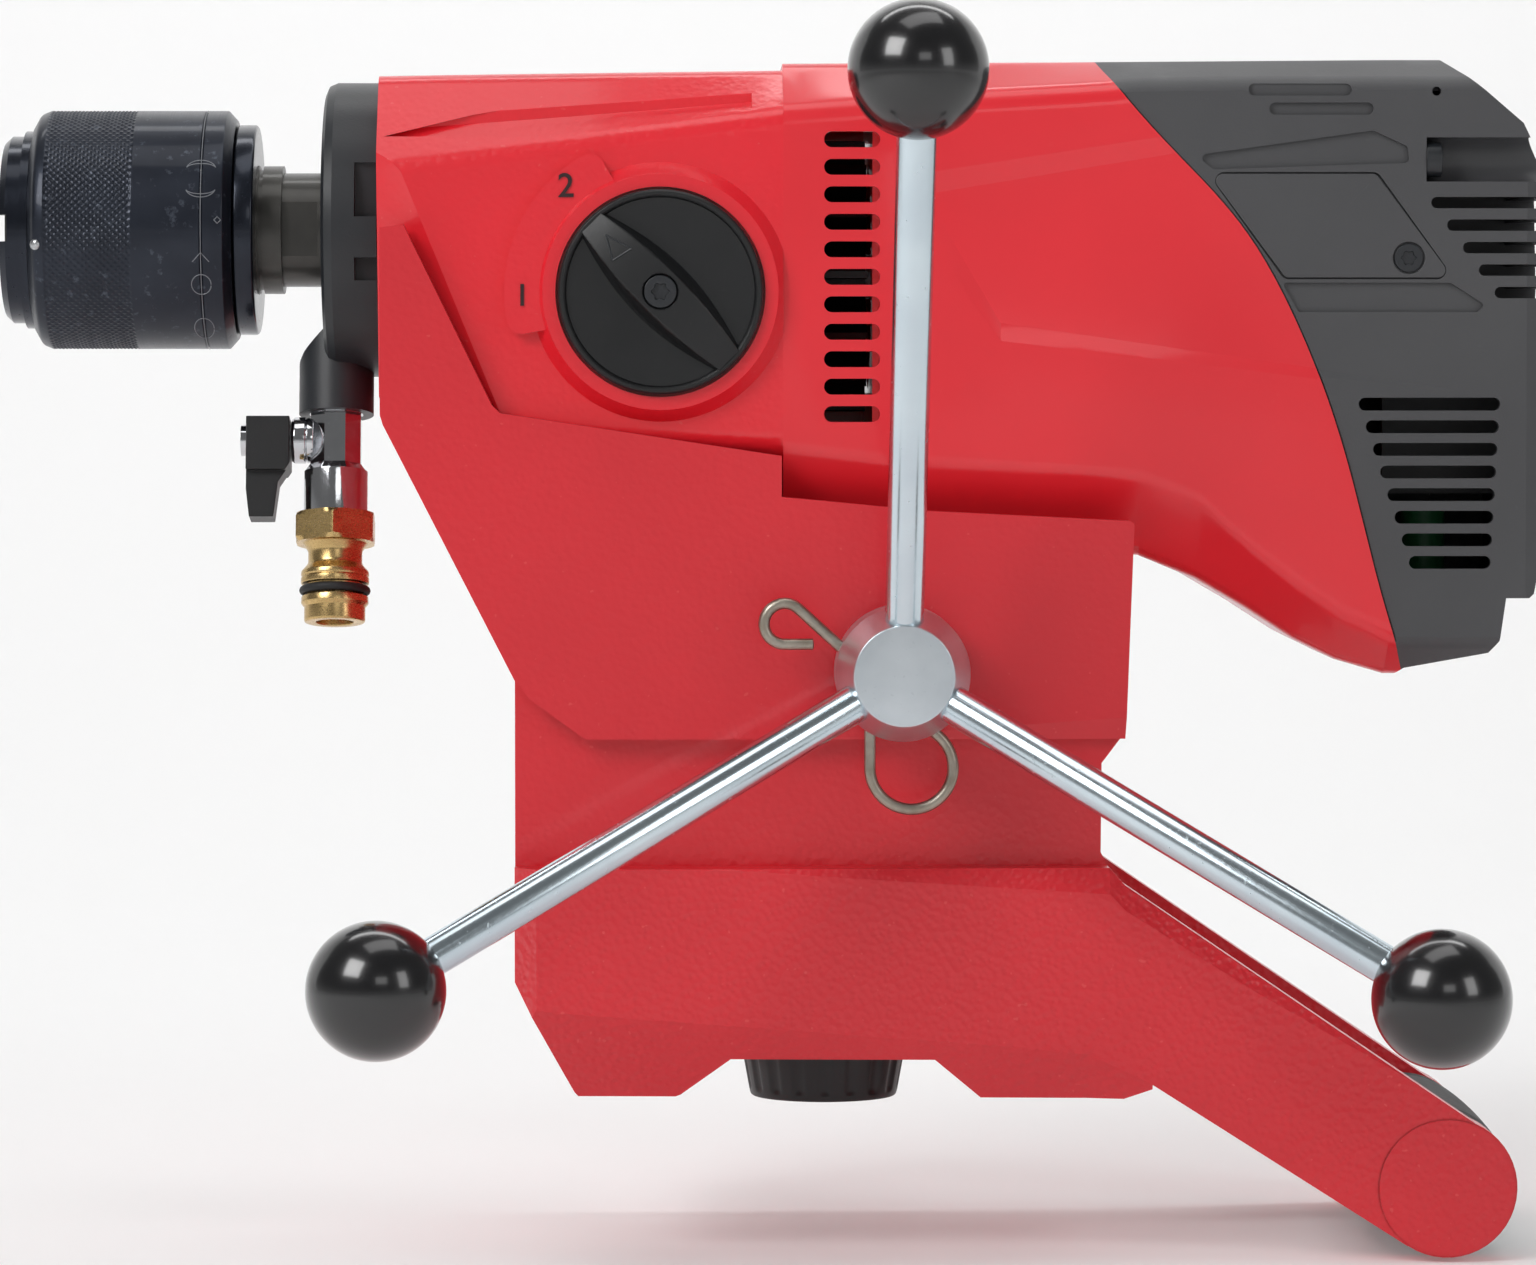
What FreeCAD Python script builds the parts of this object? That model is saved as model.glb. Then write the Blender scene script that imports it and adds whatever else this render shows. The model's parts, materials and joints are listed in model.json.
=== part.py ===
import FreeCAD, Part
import math
import os

from FreeCAD import Placement, Rotation, Vector

# Core drill rig: a two-speed wet core drill unit bolted into a carriage that
# runs on a square column.  Millimetres.  +X from the chuck to the motor's
# rear, -Y towards the hand wheel, +Z from the column up to the drill unit.
# The origin is the centre of the carriage's column tunnel.

# Column guide
tunnel_clear = 30.5         # half of the clear tunnel between the guide pads
pad_thickness = 1.5
rack_half = 11.0            # half width of the channel for the column's rack
rack_top = 38.0
casting_x = 77.0            # half length of the carriage along the column

# Axes of the machine
drill_z = 166.0             # spindle axis
counter_z = 128.5           # countershaft axis
motor_z = 153.5             # armature axis
wheel_x = 23.9              # feed pinion axis
wheel_z = 50.0
selector_x = -38.7          # speed selector axis
selector_z = 148.8
lock_x = 5.1                # carriage lock axis
handle_x = 167.4            # carrying handle axis
handle_z = -85.8

# Half widths across the machine
unit_half = 48.0            # drill unit housings
deck_half = 30.0            # flat top of the housings
belly_half = 33.0           # flat underside of the housings
saddle_half = 56.0
cradle_half = 48.4          # inside of the saddle's cheeks
neck_half = 50.0
bulge_half = 62.0           # the handle arms are flush with the bulge
grip_half = 48.0            # inner faces of the handle arms

# Lengthwise stations of the drill unit
front_x = -113.3            # gearbox front face
seam_x = -6.5               # joint between gearbox and motor housing
rear_x = 197.4              # rear of the motor cap
wall = 4.0                  # housing wall
edge_radius = 8.0           # rounding of the housings' long edges
panel_depth = 0.8           # motor housing's side panel, flush with the rear cap

# Gear train: module, teeth of the driver, teeth of the driven wheel
low_module, low_pinion, low_wheel = 1.5, 12, 38
high_module, high_pinion, high_wheel = 1.5, 18, 32
motor_module, motor_pinion, motor_wheel = 1.0, 9, 41
feed_module, feed_teeth = 2.0, 15
pressure_angle = math.radians(25)
gear_play = 0.22            # circumferential backlash of a pair

# Running fits, as radial clearances
running = 0.05
loose = 0.3

# Hand wheel
wheel_radius = 152.4        # wheel axis to ball centre
ball_radius = 17.5
spoke_radius = 5.0
spoke_dish = math.radians(24)
spoke_angles = (89.5, 209.5, 329.5)
clip_y = -72.0
clip_wire = 1.5

# Water swivel and valve
swivel_tilt = -12.0         # degrees about the spindle, outlet towards the wheel
water_x = -125.8
stem_drop = 57.8            # spindle axis to valve stem

parts = {}


# ---------------------------------------------------------------- shape tools

def block(x0, x1, y0, y1, z0, z1):
    return Part.makeBox(x1 - x0, y1 - y0, z1 - z0, Vector(x0, y0, z0))


def rod(radius, start, end):
    start, end = Vector(*start), Vector(*end)
    return Part.makeCylinder(radius, (end - start).Length, start, end - start)


def tube(outer, inner, start, end):
    return rod(outer, start, end).cut(rod(inner, start, end))


def turned(profile, base, direction):
    """Solid of revolution: (distance along the axis, radius) pairs about a line."""
    ring = [Vector(along, 0, radius) for along, radius in profile]
    face = Part.Face(Part.makePolygon(ring + ring[:1]))
    solid = face.revolve(Vector(0, 0, 0), Vector(1, 0, 0), 360)
    solid.Placement = Placement(Vector(*base), Rotation(Vector(1, 0, 0), Vector(*direction)))
    return Part.Solid(solid.Shells[0])


def plate(outline, y0, y1):
    """Prism across the machine with an outline given in X and Z."""
    ring = [Vector(x, y0, z) for x, z in outline]
    return Part.Face(Part.makePolygon(ring + ring[:1])).extrude(Vector(0, y1 - y0, 0))


def soft_plate(outline, radius, y0, y1):
    """Plate whose outline has rounded corners."""
    ring = rounded_ring([Vector(x, y0, z) for x, z in outline], radius)
    return Part.Face(ring).extrude(Vector(0, y1 - y0, 0))


def prism_loft(stations):
    """Ruled solid through polygons in planes across X: (x, [(y, z), ...]) each."""
    rings = []
    for x, corners in stations:
        ring = [Vector(x, y, z) for y, z in corners]
        rings.append(Part.makePolygon(ring + ring[:1]))
    return Part.makeLoft(rings, True, True)


def floor_plan(outline, z0, z1):
    ring = [Vector(x, y, z0) for x, y in outline]
    return Part.Face(Part.makePolygon(ring + ring[:1])).extrude(Vector(0, 0, z1 - z0))


def mirrored(shape):
    return shape.mirror(Vector(0, 0, 0), Vector(0, 1, 0))


def both_sides(shape):
    return shape.fuse(mirrored(shape))


def joined(shapes):
    return shapes[0].fuse(shapes[1:]).removeSplitter() if len(shapes) > 1 else shapes[0]


def group(shapes):
    return Part.makeCompound(shapes)


def slot_across(x0, x1, z, height, y0, y1):
    """Round-ended slot through a side wall."""
    r = height / 2
    middle = block(x0 + r, x1 - r, y0, y1, z - r, z + r)
    ends = [rod(r, (x, y0, z), (x, y1, z)) for x in (x0 + r, x1 - r)]
    return joined([middle] + ends)


def arc_band(outer, inner, x0, x1, z, start, end):
    """Part of a ring about a line parallel to X; angles run from +Y towards +Z."""
    def spot(radius, degrees):
        a = math.radians(degrees)
        return Vector(x0, radius * math.cos(a), z + radius * math.sin(a))

    middle = (start + end) / 2
    edges = [Part.Arc(spot(outer, start), spot(outer, middle), spot(outer, end)).toShape(),
             Part.makeLine(spot(outer, end), spot(inner, end)),
             Part.Arc(spot(inner, end), spot(inner, middle), spot(inner, start)).toShape(),
             Part.makeLine(spot(inner, start), spot(outer, start))]
    return Part.Face(Part.Wire(edges)).extrude(Vector(x1 - x0, 0, 0))


def rounded_ring(corners, radius):
    """Closed flat wire through the corners, each rounded by an arc."""
    arcs = []
    for i, corner in enumerate(corners):
        before = (corners[i - 1] - corner).normalize()
        after = (corners[(i + 1) % len(corners)] - corner).normalize()
        half = before.getAngle(after) / 2
        reach = radius / math.tan(half)
        inward = (before + after).normalize()
        middle = corner + inward * (radius / math.sin(half) - radius)
        arcs.append((corner + before * reach, middle, corner + after * reach))
    edges = []
    for i, (start, middle, end) in enumerate(arcs):
        edges.append(Part.Arc(start, middle, end).toShape())
        edges.append(Part.makeLine(end, arcs[(i + 1) % len(arcs)][0]))
    return Part.Wire(edges)


def involute(angle):
    return math.tan(angle) - angle


def gear(module, teeth, x0, x1, z, tooth_at, bore=0.0):
    """Spur gear about a line parallel to X; tooth_at is the angle of one tooth."""
    pitch = module * teeth / 2
    base = pitch * math.cos(pressure_angle)
    tip = pitch + 0.8 * module
    root = pitch - 1.05 * module
    thickness = math.pi * module / 2 - gear_play / 2
    start = max(base, root + 0.01)

    def half_angle(radius):
        at = math.acos(min(1.0, base / radius))
        return thickness / (2 * pitch) + involute(pressure_angle) - involute(at)

    def spot(radius, angle):
        return Vector(0, radius * math.cos(angle), radius * math.sin(angle))

    edges = []
    step = 2 * math.pi / teeth
    middle = (start + tip) / 2
    for i in range(teeth):
        centre = math.radians(tooth_at) + i * step
        low, mid, high = half_angle(start), half_angle(middle), half_angle(tip)
        rise = [spot(start, centre - low), spot(middle, centre - mid), spot(tip, centre - high)]
        fall = [spot(tip, centre + high), spot(middle, centre + mid), spot(start, centre + low)]
        foot_in = spot(root, centre - low)
        foot_out = spot(root, centre + low)
        edges.append(Part.makeLine(foot_in, rise[0]))
        edges.append(Part.Arc(*rise).toShape())
        edges.append(Part.Arc(rise[2], spot(tip, centre), fall[0]).toShape())
        edges.append(Part.Arc(*fall).toShape())
        edges.append(Part.makeLine(fall[2], foot_out))
        gap = spot(root, centre + step / 2)
        edges.append(Part.Arc(foot_out, gap, spot(root, centre + step - low)).toShape())
    solid = Part.Face(Part.Wire(edges)).extrude(Vector(x1 - x0, 0, 0))
    solid.translate(Vector(x0, 0, z))
    return solid.cut(rod(bore, (x0, 0, z), (x1, 0, z))) if bore else solid


def ball_bearing(bore, outer, x0, x1, z):
    """Shielded bearing with its shields set back from the faces of the rings."""
    back = 0.6
    rim = (outer - bore) * 0.22
    profile = [(x0, bore), (x0, bore + rim), (x0 + back, bore + rim), (x0 + back, outer - rim),
               (x0, outer - rim), (x0, outer), (x1, outer), (x1, outer - rim),
               (x1 - back, outer - rim), (x1 - back, bore + rim), (x1, bore + rim), (x1, bore)]
    return turned(profile, (0, 0, z), (1, 0, 0))


# -------------------------------------------------------------- the housings

# Stations along the drill unit: x, top deck, shoulder crease, hip crease, underside
gearbox_stations = [(front_x, 206.2, 181.3, 130.0, 121.0), (-98, 206.5, 183.3, 111.0, 100.0),
                    (seam_x, 207.7, 195.4, 108.1, 98.0)]
motor_stations = [(seam_x, 209.5, 196.0, 108.1, 80.0), (24, 209.7, 198.7, 104.2, 80.0),
                  (72, 209.9, 202.0, 102.0, 80.0), (88, 210.0, 203.4, 99.9, 79.2),
                  (103, 210.1, 203.6, 94.2, 73.0), (116, 210.2, 203.8, 82.3, 65.4),
                  (129, 210.3, 203.8, 71.8, 57.0), (140, 210.4, 203.8, 63.9, 51.6),
                  (153, 210.5, 203.8, 57.3, 47.8), (166, 210.5, 203.8, 57.0, 47.8),
                  (200, 210.5, 203.8, 57.0, 47.8)]
gearbox_plan = [(front_x, 45), (-107, 48.2), (seam_x, 48.2), (seam_x, -48.2),
                (-107, -48.2), (front_x, -45)]
pocket_outline = [(-111.4, 189.7), (-88, 195.5), (-65, 199.4), (-14.7, 203.7), (-14.7, 196.4),
                  (-63, 190.4), (-72, 189.4)]
rear_outline = [(-10, 220), (160, 220), (160, 210.5), (167.7, 210.5), (187.9, 193.2),
                (196.8, 175.1), (rear_x, 150), (193.9, 82), (191.4, 69.4), (190.1, 68.3),
                (183.9, 68.3), (182.3, 57), (179.8, 53.7), (158.2, 49.4), (146, 40), (-10, 40)]
seam_curve = [(75.8, 210.5), (92.7, 189.4), (113.7, 166.5), (126.9, 144.1), (141.3, 106.0),
              (150.6, 70.5), (157.6, 49.0)]


def unit_section(station, inset):
    """Eight-sided section with rounded corners, set in from the outer surface."""
    x, top, shoulder, hip, bottom = station
    side = unit_half - inset
    right = [(deck_half - inset / 2, top - inset), (side, shoulder - inset / 2),
             (side, hip + inset / 2), (belly_half - inset / 2, bottom + inset)]
    ring = right + [(-y, z) for y, z in reversed(right)]
    return rounded_ring([Vector(x, y, z) for y, z in ring], edge_radius - inset / 2)


def unit_solid(stations, inset=0.0):
    return Part.makeLoft([unit_section(s, inset) for s in stations], True, True)


def behind_seam():
    """Everything to the rear of the curved joint between motor housing and cap."""
    curve = Part.BSplineCurve()
    curve.interpolate([Vector(x, -60, z) for x, z in seam_curve])
    first, last = seam_curve[0], seam_curve[-1]
    corners = [(last[0], 20), (230, 20), (230, 230), (first[0], 230), first]
    rim = [Vector(x, -60, z) for x, z in corners]
    edges = [curve.toShape(), Part.makeLine(Vector(last[0], -60, last[1]), rim[0])]
    edges += [Part.makeLine(a, b) for a, b in zip(rim, rim[1:])]
    return Part.Face(Part.Wire(edges)).extrude(Vector(0, 120, 0))


def motor_vents():
    """Cooling slots: fan outlets in the motor housing, inlets in the cap."""
    fan = []
    for i in range(11):
        far_end = 60 if i < 10 else 0
        fan.append(slot_across(4.2, 18.9, 188.8 - 7.2 * i, 4.2, -60, far_end))
    low = [slot_across(144.8 + 1.92 * i, 182.1 - 0.33 * i, 119.4 - 5.95 * i, 3.4, -60, -30)
           for i in range(8)]
    high = [slot_across(163.7 + 4.2 * i, 210, 172.3 - 5.9 * i, 3.0, -60, 60) for i in range(5)]
    return fan, low + high


def side_panel():
    """Shallow panel sunk in the motor housing's side, between two sloping bands."""
    floor = -(unit_half - panel_depth)
    out = -unit_half - 5
    # x, outer and inner edge of the upper band, inner and outer edge of the lower band
    rows = [(27, 179.4, 173.8, 172.0, 163.0), (33.7, 180.5, 174.7, 169.9, 159.9),
            (50.6, 183.1, 177.6, 140.7, 136.0), (94, 189.7, 184.8, 134.5, 131.0),
            (160, 199.8, 195.0, 125.0, 122.6)]
    return prism_loft([(x, [(out, high), (-unit_half, high), (floor, high_in), (floor, low_in),
                            (-unit_half, low), (out, low)])
                       for x, high, high_in, low_in, low in rows])


def cap_ridge():
    """Ridge on the cap that carries the panel's lower band on and fades out rearwards."""
    side = -(unit_half - panel_depth)
    return prism_loft([(120, [(side + 1, 130.6), (side, 130.6), (side - panel_depth, 128.2),
                              (side, 114), (side + 1, 114)]),
                       (170, [(side + 1, 123.3), (side, 123.3), (side - 0.05, 122.8),
                              (side, 114), (side + 1, 114)])])


def front_facet(depth=0.0):
    """Space in front of the slanting facets at the gearbox's front lower corners."""
    top, bottom = 230, 90
    lean = 25 / 61
    x = -107 - (top - 181) * lean + 2 * depth
    ring = [(x + 12.6, -54), (x - 63, -18), (x - 63, -80), (x + 12.6, -80)]
    face = Part.Face(Part.makePolygon([Vector(px, py, top) for px, py in ring + ring[:1]]))
    return both_sides(face.extrude(Vector((top - bottom) * lean, 0, bottom - top)))


def make_housings():
    outer = unit_solid(gearbox_stations).common(floor_plan(gearbox_plan, 60, 230))
    outer = outer.cut(front_facet())
    boss = turned([(-52, 0), (-52, 30.9), (-48, 34.0), (-44, 34.0), (-44, 0)],
                  (selector_x, 0, selector_z), (0, 1, 0))
    boss = boss.common(block(front_x, seam_x, -60, 0, 100, 200))
    ear_round = 4.0
    sector = arc_band(41 - ear_round, 26, 0, 4, 0, 114 + 6, 197 - 6)
    ear = Part.Face(min(sector.Faces, key=lambda f: f.CenterOfMass.x).OuterWire)
    sector = ear.makeOffset2D(ear_round).extrude(Vector(4, 0, 0))
    sector.rotate(Vector(0, 0, 0), Vector(0, 0, 1), -90)
    sector.translate(Vector(selector_x, -47, selector_z))
    room = unit_solid([(-95,) + gearbox_stations[1][1:], (seam_x,) + gearbox_stations[2][1:]], wall)
    room = room.cut(front_facet(wall))
    pocket = both_sides(plate(pocket_outline, -60, -38.5)).cut(unit_solid(gearbox_stations, 1.8))
    cuts = [room, pocket,
            rod(27.5, (selector_x, -56, selector_z), (selector_x, -46.8, selector_z)),
            rod(6.2, (selector_x, -50, selector_z), (selector_x, -40, selector_z)),
            rod(16.0, (front_x - 1, 0, drill_z), (-94, 0, drill_z)),
            rod(23.5, (-109, 0, drill_z), (-94, 0, drill_z)),
            rod(13.0, (-104, 0, counter_z), (-94, 0, counter_z)),
            rod(20.0, (front_x - 1, 0, drill_z), (-112, 0, drill_z))]
    parts["gearbox_housing"] = joined([outer, boss, sector]).cut(cuts)

    unit = unit_solid(motor_stations).common(plate(rear_outline, -60, 60))
    plan = [(seam_x, 60), (178, 60), (178, 48), (189, 47.2), (194.5, 44), (rear_x, 38)]
    plan += [(x, -y) for x, y in reversed(plan)]
    unit = unit.common(floor_plan(plan, 30, 230))
    inside = unit_solid([(seam_x - 1,) + motor_stations[0][1:]] + motor_stations[1:-2]
                        + [(189,) + motor_stations[-1][1:]], wall)
    inner_outline = [(-10, 220), (160, 206.5), (166, 206.5), (184.5, 190.5), (192.6, 174.2),
                     (193.4, 150), (189.9, 82), (187.6, 73), (179.5, 73), (178.6, 58.2),
                     (158.2, 53.4), (146, 40), (-10, 40)]
    inside = inside.common(plate(inner_outline, -60, 60))
    # A partition in the rear parts the inlets, and walls close off the screw notches
    partition = block(156, 200, -1.5, 1.5, 95, 215)
    notch_walls = [notch_room(side, 2.2) for side in (-1, 1)]
    # A baffle between the fan and the windings leads the air out through the fan slots
    baffle = block(17, 21, -47, 47, 60, 215).cut(rod(30, (16, 0, motor_z), (22, 0, motor_z)))
    inside = inside.cut([partition, baffle] + notch_walls)
    fan_slots, cap_slots = motor_vents()
    middle = block(-10, 40, -43.5, 43.5, 60, 215)
    fan_slots = [slot.cut(middle) for slot in fan_slots]
    cap_slots = [slot.cut(partition) for slot in cap_slots]
    rear = behind_seam()
    casing = unit.cut(inside)
    shell = casing.cut(rear)
    parts["motor_housing"] = shell.cut(fan_slots + [both_sides(side_panel())])

    # The cap's sides lie below the motor housing's, with a fine gap along the joint
    side = unit_half - panel_depth
    cap = casing.common(rear).common(block(0, 230, -side, side, 0, 230))
    cap = joined([cap, both_sides(cap_ridge().common(rear))])
    behind_gap = rear.copy()
    behind_gap.translate(Vector(0.45, 0, 0))
    gap = rear.cut(behind_gap).cut(block(0, 230, -side + 0.9, side - 0.9, 0, 230))
    grooves = [slot_across(115.6, 142.7, 201.9, 3.2, -60, -side + 1.6),
               slot_across(121.1, 148.4, 196.9, 3.2, -60, -side + 1.3),
               rod(1.2, (165, -60, 201.5), (165, -42, 201.5))]
    sunk = [soft_plate([(101.9, 184.7), (148.4, 191.2), (157.4, 187.0), (157.9, 182.7), (106.3, 181)],
                       1.2, -60, -side + 1.2),
            soft_plate([(124.5, 151.3), (168.9, 151.3), (177.9, 145.5), (176, 143.6), (128.9, 143.6)],
                       0.8, -60, -side + 1.2)]
    cover_seat = soft_plate(cover_outline(0.4), 2.4, -60, -side + 1.6)
    notches = [notch_room(side_sign, 0.0) for side_sign in (-1, 1)]
    brush_window = block(124, 147, -60, 60, 156, 175)
    switch_port = block(150.5, 173.5, 40, 60, 89.5, 110.5)
    gland_port = rod(8, (176, 40, 128), (176, 60, 128))
    cuts = cap_slots + [both_sides(cut) for cut in grooves + sunk + [cover_seat]]
    cuts += notches + [gap, brush_window, switch_port, gland_port]
    parts["rear_cap"] = max(cap.cut(cuts).Solids, key=lambda s: s.Volume)


def notch_room(side, grow):
    """Round-backed notch for a cap screw, open to the side and to the rear."""
    x0 = 162.4 - grow
    z = 183.6
    back = side * 43.6
    y0, y1 = sorted((back, side * 60))
    return joined([rod(5.8 + grow, (x0, back, z), (215, back, z)),
                   block(x0, 215, y0, y1, z - 5.8 - grow, z + 5.8 + grow)])


def cover_outline(grow=0.0):
    return [(105.0 - grow, 179.9 + grow), (149.2 + grow, 179.9 + grow), (169.6 + grow, 152.6 - grow),
            (125.4 - grow, 152.6 - grow)]


def make_covers():
    side = unit_half - panel_depth
    plate_y = -side + 1.6
    screw_x, screw_z = 157.9, 157.8
    cover = soft_plate(cover_outline(), 2.0, -side, plate_y)
    hole = rod(1.6, (screw_x, -60, screw_z), (screw_x, plate_y, screw_z))
    recess = rod(4.2, (screw_x, -60, screw_z), (screw_x, plate_y - 0.5, screw_z))
    near = cover.cut([hole, recess])
    screw = joined([rod(3.8, (screw_x, plate_y - 1.3, screw_z), (screw_x, plate_y - 0.5, screw_z)),
                    rod(1.6, (screw_x, plate_y - 0.5, screw_z), (screw_x, plate_y, screw_z))])
    parts["brush_covers"] = group([near, mirrored(near)])
    # The cap screws lie lengthwise, with their heads at the front of the notches
    cap_screw = rod(4.6, (162.5, -43.6, 183.6), (166.6, -43.6, 183.6))
    cap_screw = cap_screw.cut(rod(2.2, (164.6, -43.6, 183.6), (167.6, -43.6, 183.6)))
    parts["cap_screws"] = group([screw, mirrored(screw), cap_screw, mirrored(cap_screw)])


# ------------------------------------------------------ gears and their shafts

def make_gear_train():
    # Dog clutch between the two loose wheels of the spindle
    lug_width = 30
    low = gear(low_module, low_wheel, -54, -38, drill_z, -90 + 180 / low_wheel, 12.0 + running)
    high = gear(high_module, high_wheel, -91, -77, drill_z, -90 + 180 / high_wheel, 12.0)

    def lugs(x0, x1, turn):
        out = []
        for i in range(4):
            start = turn + 90 * i - lug_width / 2
            out.append(arc_band(22.5, 17.5, x0, x1, drill_z, start, start + lug_width))
        return out

    parts["low_speed_gear"] = joined([low] + lugs(-57, -54, 0))
    parts["high_speed_gear"] = joined([high] + lugs(-77, -74, 0))
    groove = [(-73.5, 12 + running), (-73.5, 24), (-71, 24), (-71, 20), (-67, 20), (-67, 24),
              (-64.5, 24), (-64.5, 12 + running)]
    sleeve = turned(groove, (0, 0, drill_z), (1, 0, 0))
    parts["dog_sleeve"] = joined([sleeve] + lugs(-76.5, -73.5, 45) + lugs(-64.5, -61.5, 45))

    # Main spindle: threaded nose, wrench flats, journals and gear seats
    spindle = turned([(-165, 0), (-165, 11), (-140.2, 11), (-140.2, 15.3), (-109.2, 15.3),
                      (-109.2, 12.5), (-96, 12.5), (-96, 12), (-37, 12), (-37, 6), (-28.5, 6),
                      (-28.5, 0)], (0, 0, drill_z), (1, 0, 0))
    flats = [block(-140.2, -130.5, side * 13.5 - 5, side * 13.5 + 5, drill_z - 20, drill_z + 20)
             for side in (-1.37, 1.37)]
    water = rod(5, (-170, 0, drill_z), (-115, 0, drill_z))
    inlet = rod(3, (-121, -20, drill_z), (-121, 20, drill_z))
    parts["spindle"] = spindle.cut(flats + [water, inlet])

    counter = turned([(-104, 0), (-104, 5), (-95.5, 5), (-95.5, 7), (-15.5, 7),
                      (-15.5, 5), (-7, 5), (-7, 0)], (0, 0, counter_z), (1, 0, 0))
    pinions = [gear(high_module, high_pinion, -92, -76, counter_z, 90),
               gear(low_module, low_pinion, -55, -37, counter_z, 90)]
    parts["countershaft"] = joined([counter] + pinions)
    parts["countershaft_gear"] = gear(motor_module, motor_wheel, -26, -16, counter_z, 90, 7.0)

    # Bearings run on the shafts with a small clearance
    parts["spindle_bearings"] = group([ball_bearing(12.5 + running, 23.5, -109, -97, drill_z),
                                       ball_bearing(6 + running, 14, -36, -28, drill_z)])
    ends = [ball_bearing(5 + running, 13, -104, -96, counter_z),
            ball_bearing(5 + running, 13, -15, -7, counter_z)]
    parts["countershaft_bearings"] = group(ends)

    # Plates that carry the bearings, fitted inside the gearbox housing
    def web(x0, x1):
        ratio = [(x + 98) / (seam_x + 98) for x in (x0, x1)]
        first, last = gearbox_stations[1], gearbox_stations[2]
        rows = [[a + (b - a) * t for a, b in zip(first, last)] for t in ratio]
        return unit_solid(rows, wall + 0.3)

    middle = web(-36, -28).cut([rod(14, (-37, 0, drill_z), (-27, 0, drill_z)),
                                rod(11.5, (-37, 0, counter_z), (-27, 0, counter_z)),
                                block(-37, -27, -46, -31, 126, 172)])
    parts["middle_bearing_plate"] = middle
    back = web(-15, -6.6).cut([rod(13, (-16, 0, counter_z), (-7, 0, counter_z)),
                               rod(11, (-14, 0, motor_z), (-6, 0, motor_z)),
                               rod(7, (-16, 0, motor_z), (-6, 0, motor_z))])
    parts["rear_bearing_plate"] = back


def make_selector():
    axis = Vector(0, 1, 0)
    centre = Vector(selector_x, 0, selector_z)
    disc = turned([(-53.2, 0), (-53.2, 25.6), (-52.4, 26.8), (-47.3, 26.8), (-47.3, 0)],
                  (selector_x, 0, selector_z), (0, 1, 0))
    bar = block(selector_x - 26, selector_x + 26, -59, -52, selector_z - 6.5, selector_z + 6.5)
    bar.rotate(centre, axis, 45)
    bar = bar.common(rod(26.2, (selector_x, -60, selector_z), (selector_x, -50, selector_z)))
    recess = rod(4.7, (selector_x, -60, selector_z), (selector_x, -57, selector_z))
    bore = rod(2.5, (selector_x, -60, selector_z), (selector_x, -47, selector_z))
    parts["selector_knob"] = joined([disc, bar]).cut([recess, bore])
    head = rod(4.3, (selector_x, -57, selector_z), (selector_x, -58.6, selector_z))
    head = head.cut(rod(1.7, (selector_x, -58.8, selector_z), (selector_x, -57.6, selector_z)))
    shank = rod(2.5, (selector_x, -57, selector_z), (selector_x, -47.4, selector_z))
    parts["selector_screw"] = joined([head, shank])
    pin_angle = math.radians(-90 - 46.6 / 2)
    pin_x = selector_x + 9 * math.cos(pin_angle)
    pin_z = selector_z + 9 * math.sin(pin_angle)
    shaft = rod(6.2 - running, (selector_x, -47.3, selector_z), (selector_x, -43.8, selector_z))
    shaft = shaft.cut(rod(2.5, (selector_x, -48, selector_z), (selector_x, -47.3, selector_z)))
    web = rod(12, (selector_x, -43.8, selector_z), (selector_x, -41.8, selector_z))
    pin = rod(2.5, (pin_x, -41.8, pin_z), (pin_x, -37, pin_z))
    parts["selector_shaft"] = joined([shaft, web, pin])
    return pin_x, pin_z


def make_shift_fork(pin_x, pin_z):
    """Plate driven by the selector's pin, with a fork in the dog sleeve's groove."""
    slide_plate = block(-72, -33.5, -41, -37.4, 132, 158)
    slot = block(pin_x - 2.6, pin_x + 2.6, -42, -36, 136, 146)
    rail_block = block(-72, -58, -41, -33, 156, 176)
    arm = block(-70.8, -67.2, -41, -17, 158, 174)
    horns = arc_band(27, 20.3, -70.8, -67.2, drill_z, 100, 260)
    mouth = rod(20.3, (-71, 0, drill_z), (-67, 0, drill_z))
    rail_bore = rod(3 + running, (-75, -37, drill_z), (-55, -37, drill_z))
    body = joined([slide_plate, rail_block, arm, horns]).cut([slot, mouth, rail_bore])
    parts["shift_fork"] = body
    parts["shift_rail"] = rod(3, (-95, -37, drill_z), (-36, -37, drill_z))


# ------------------------------------------------------------------- the motor

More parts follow.
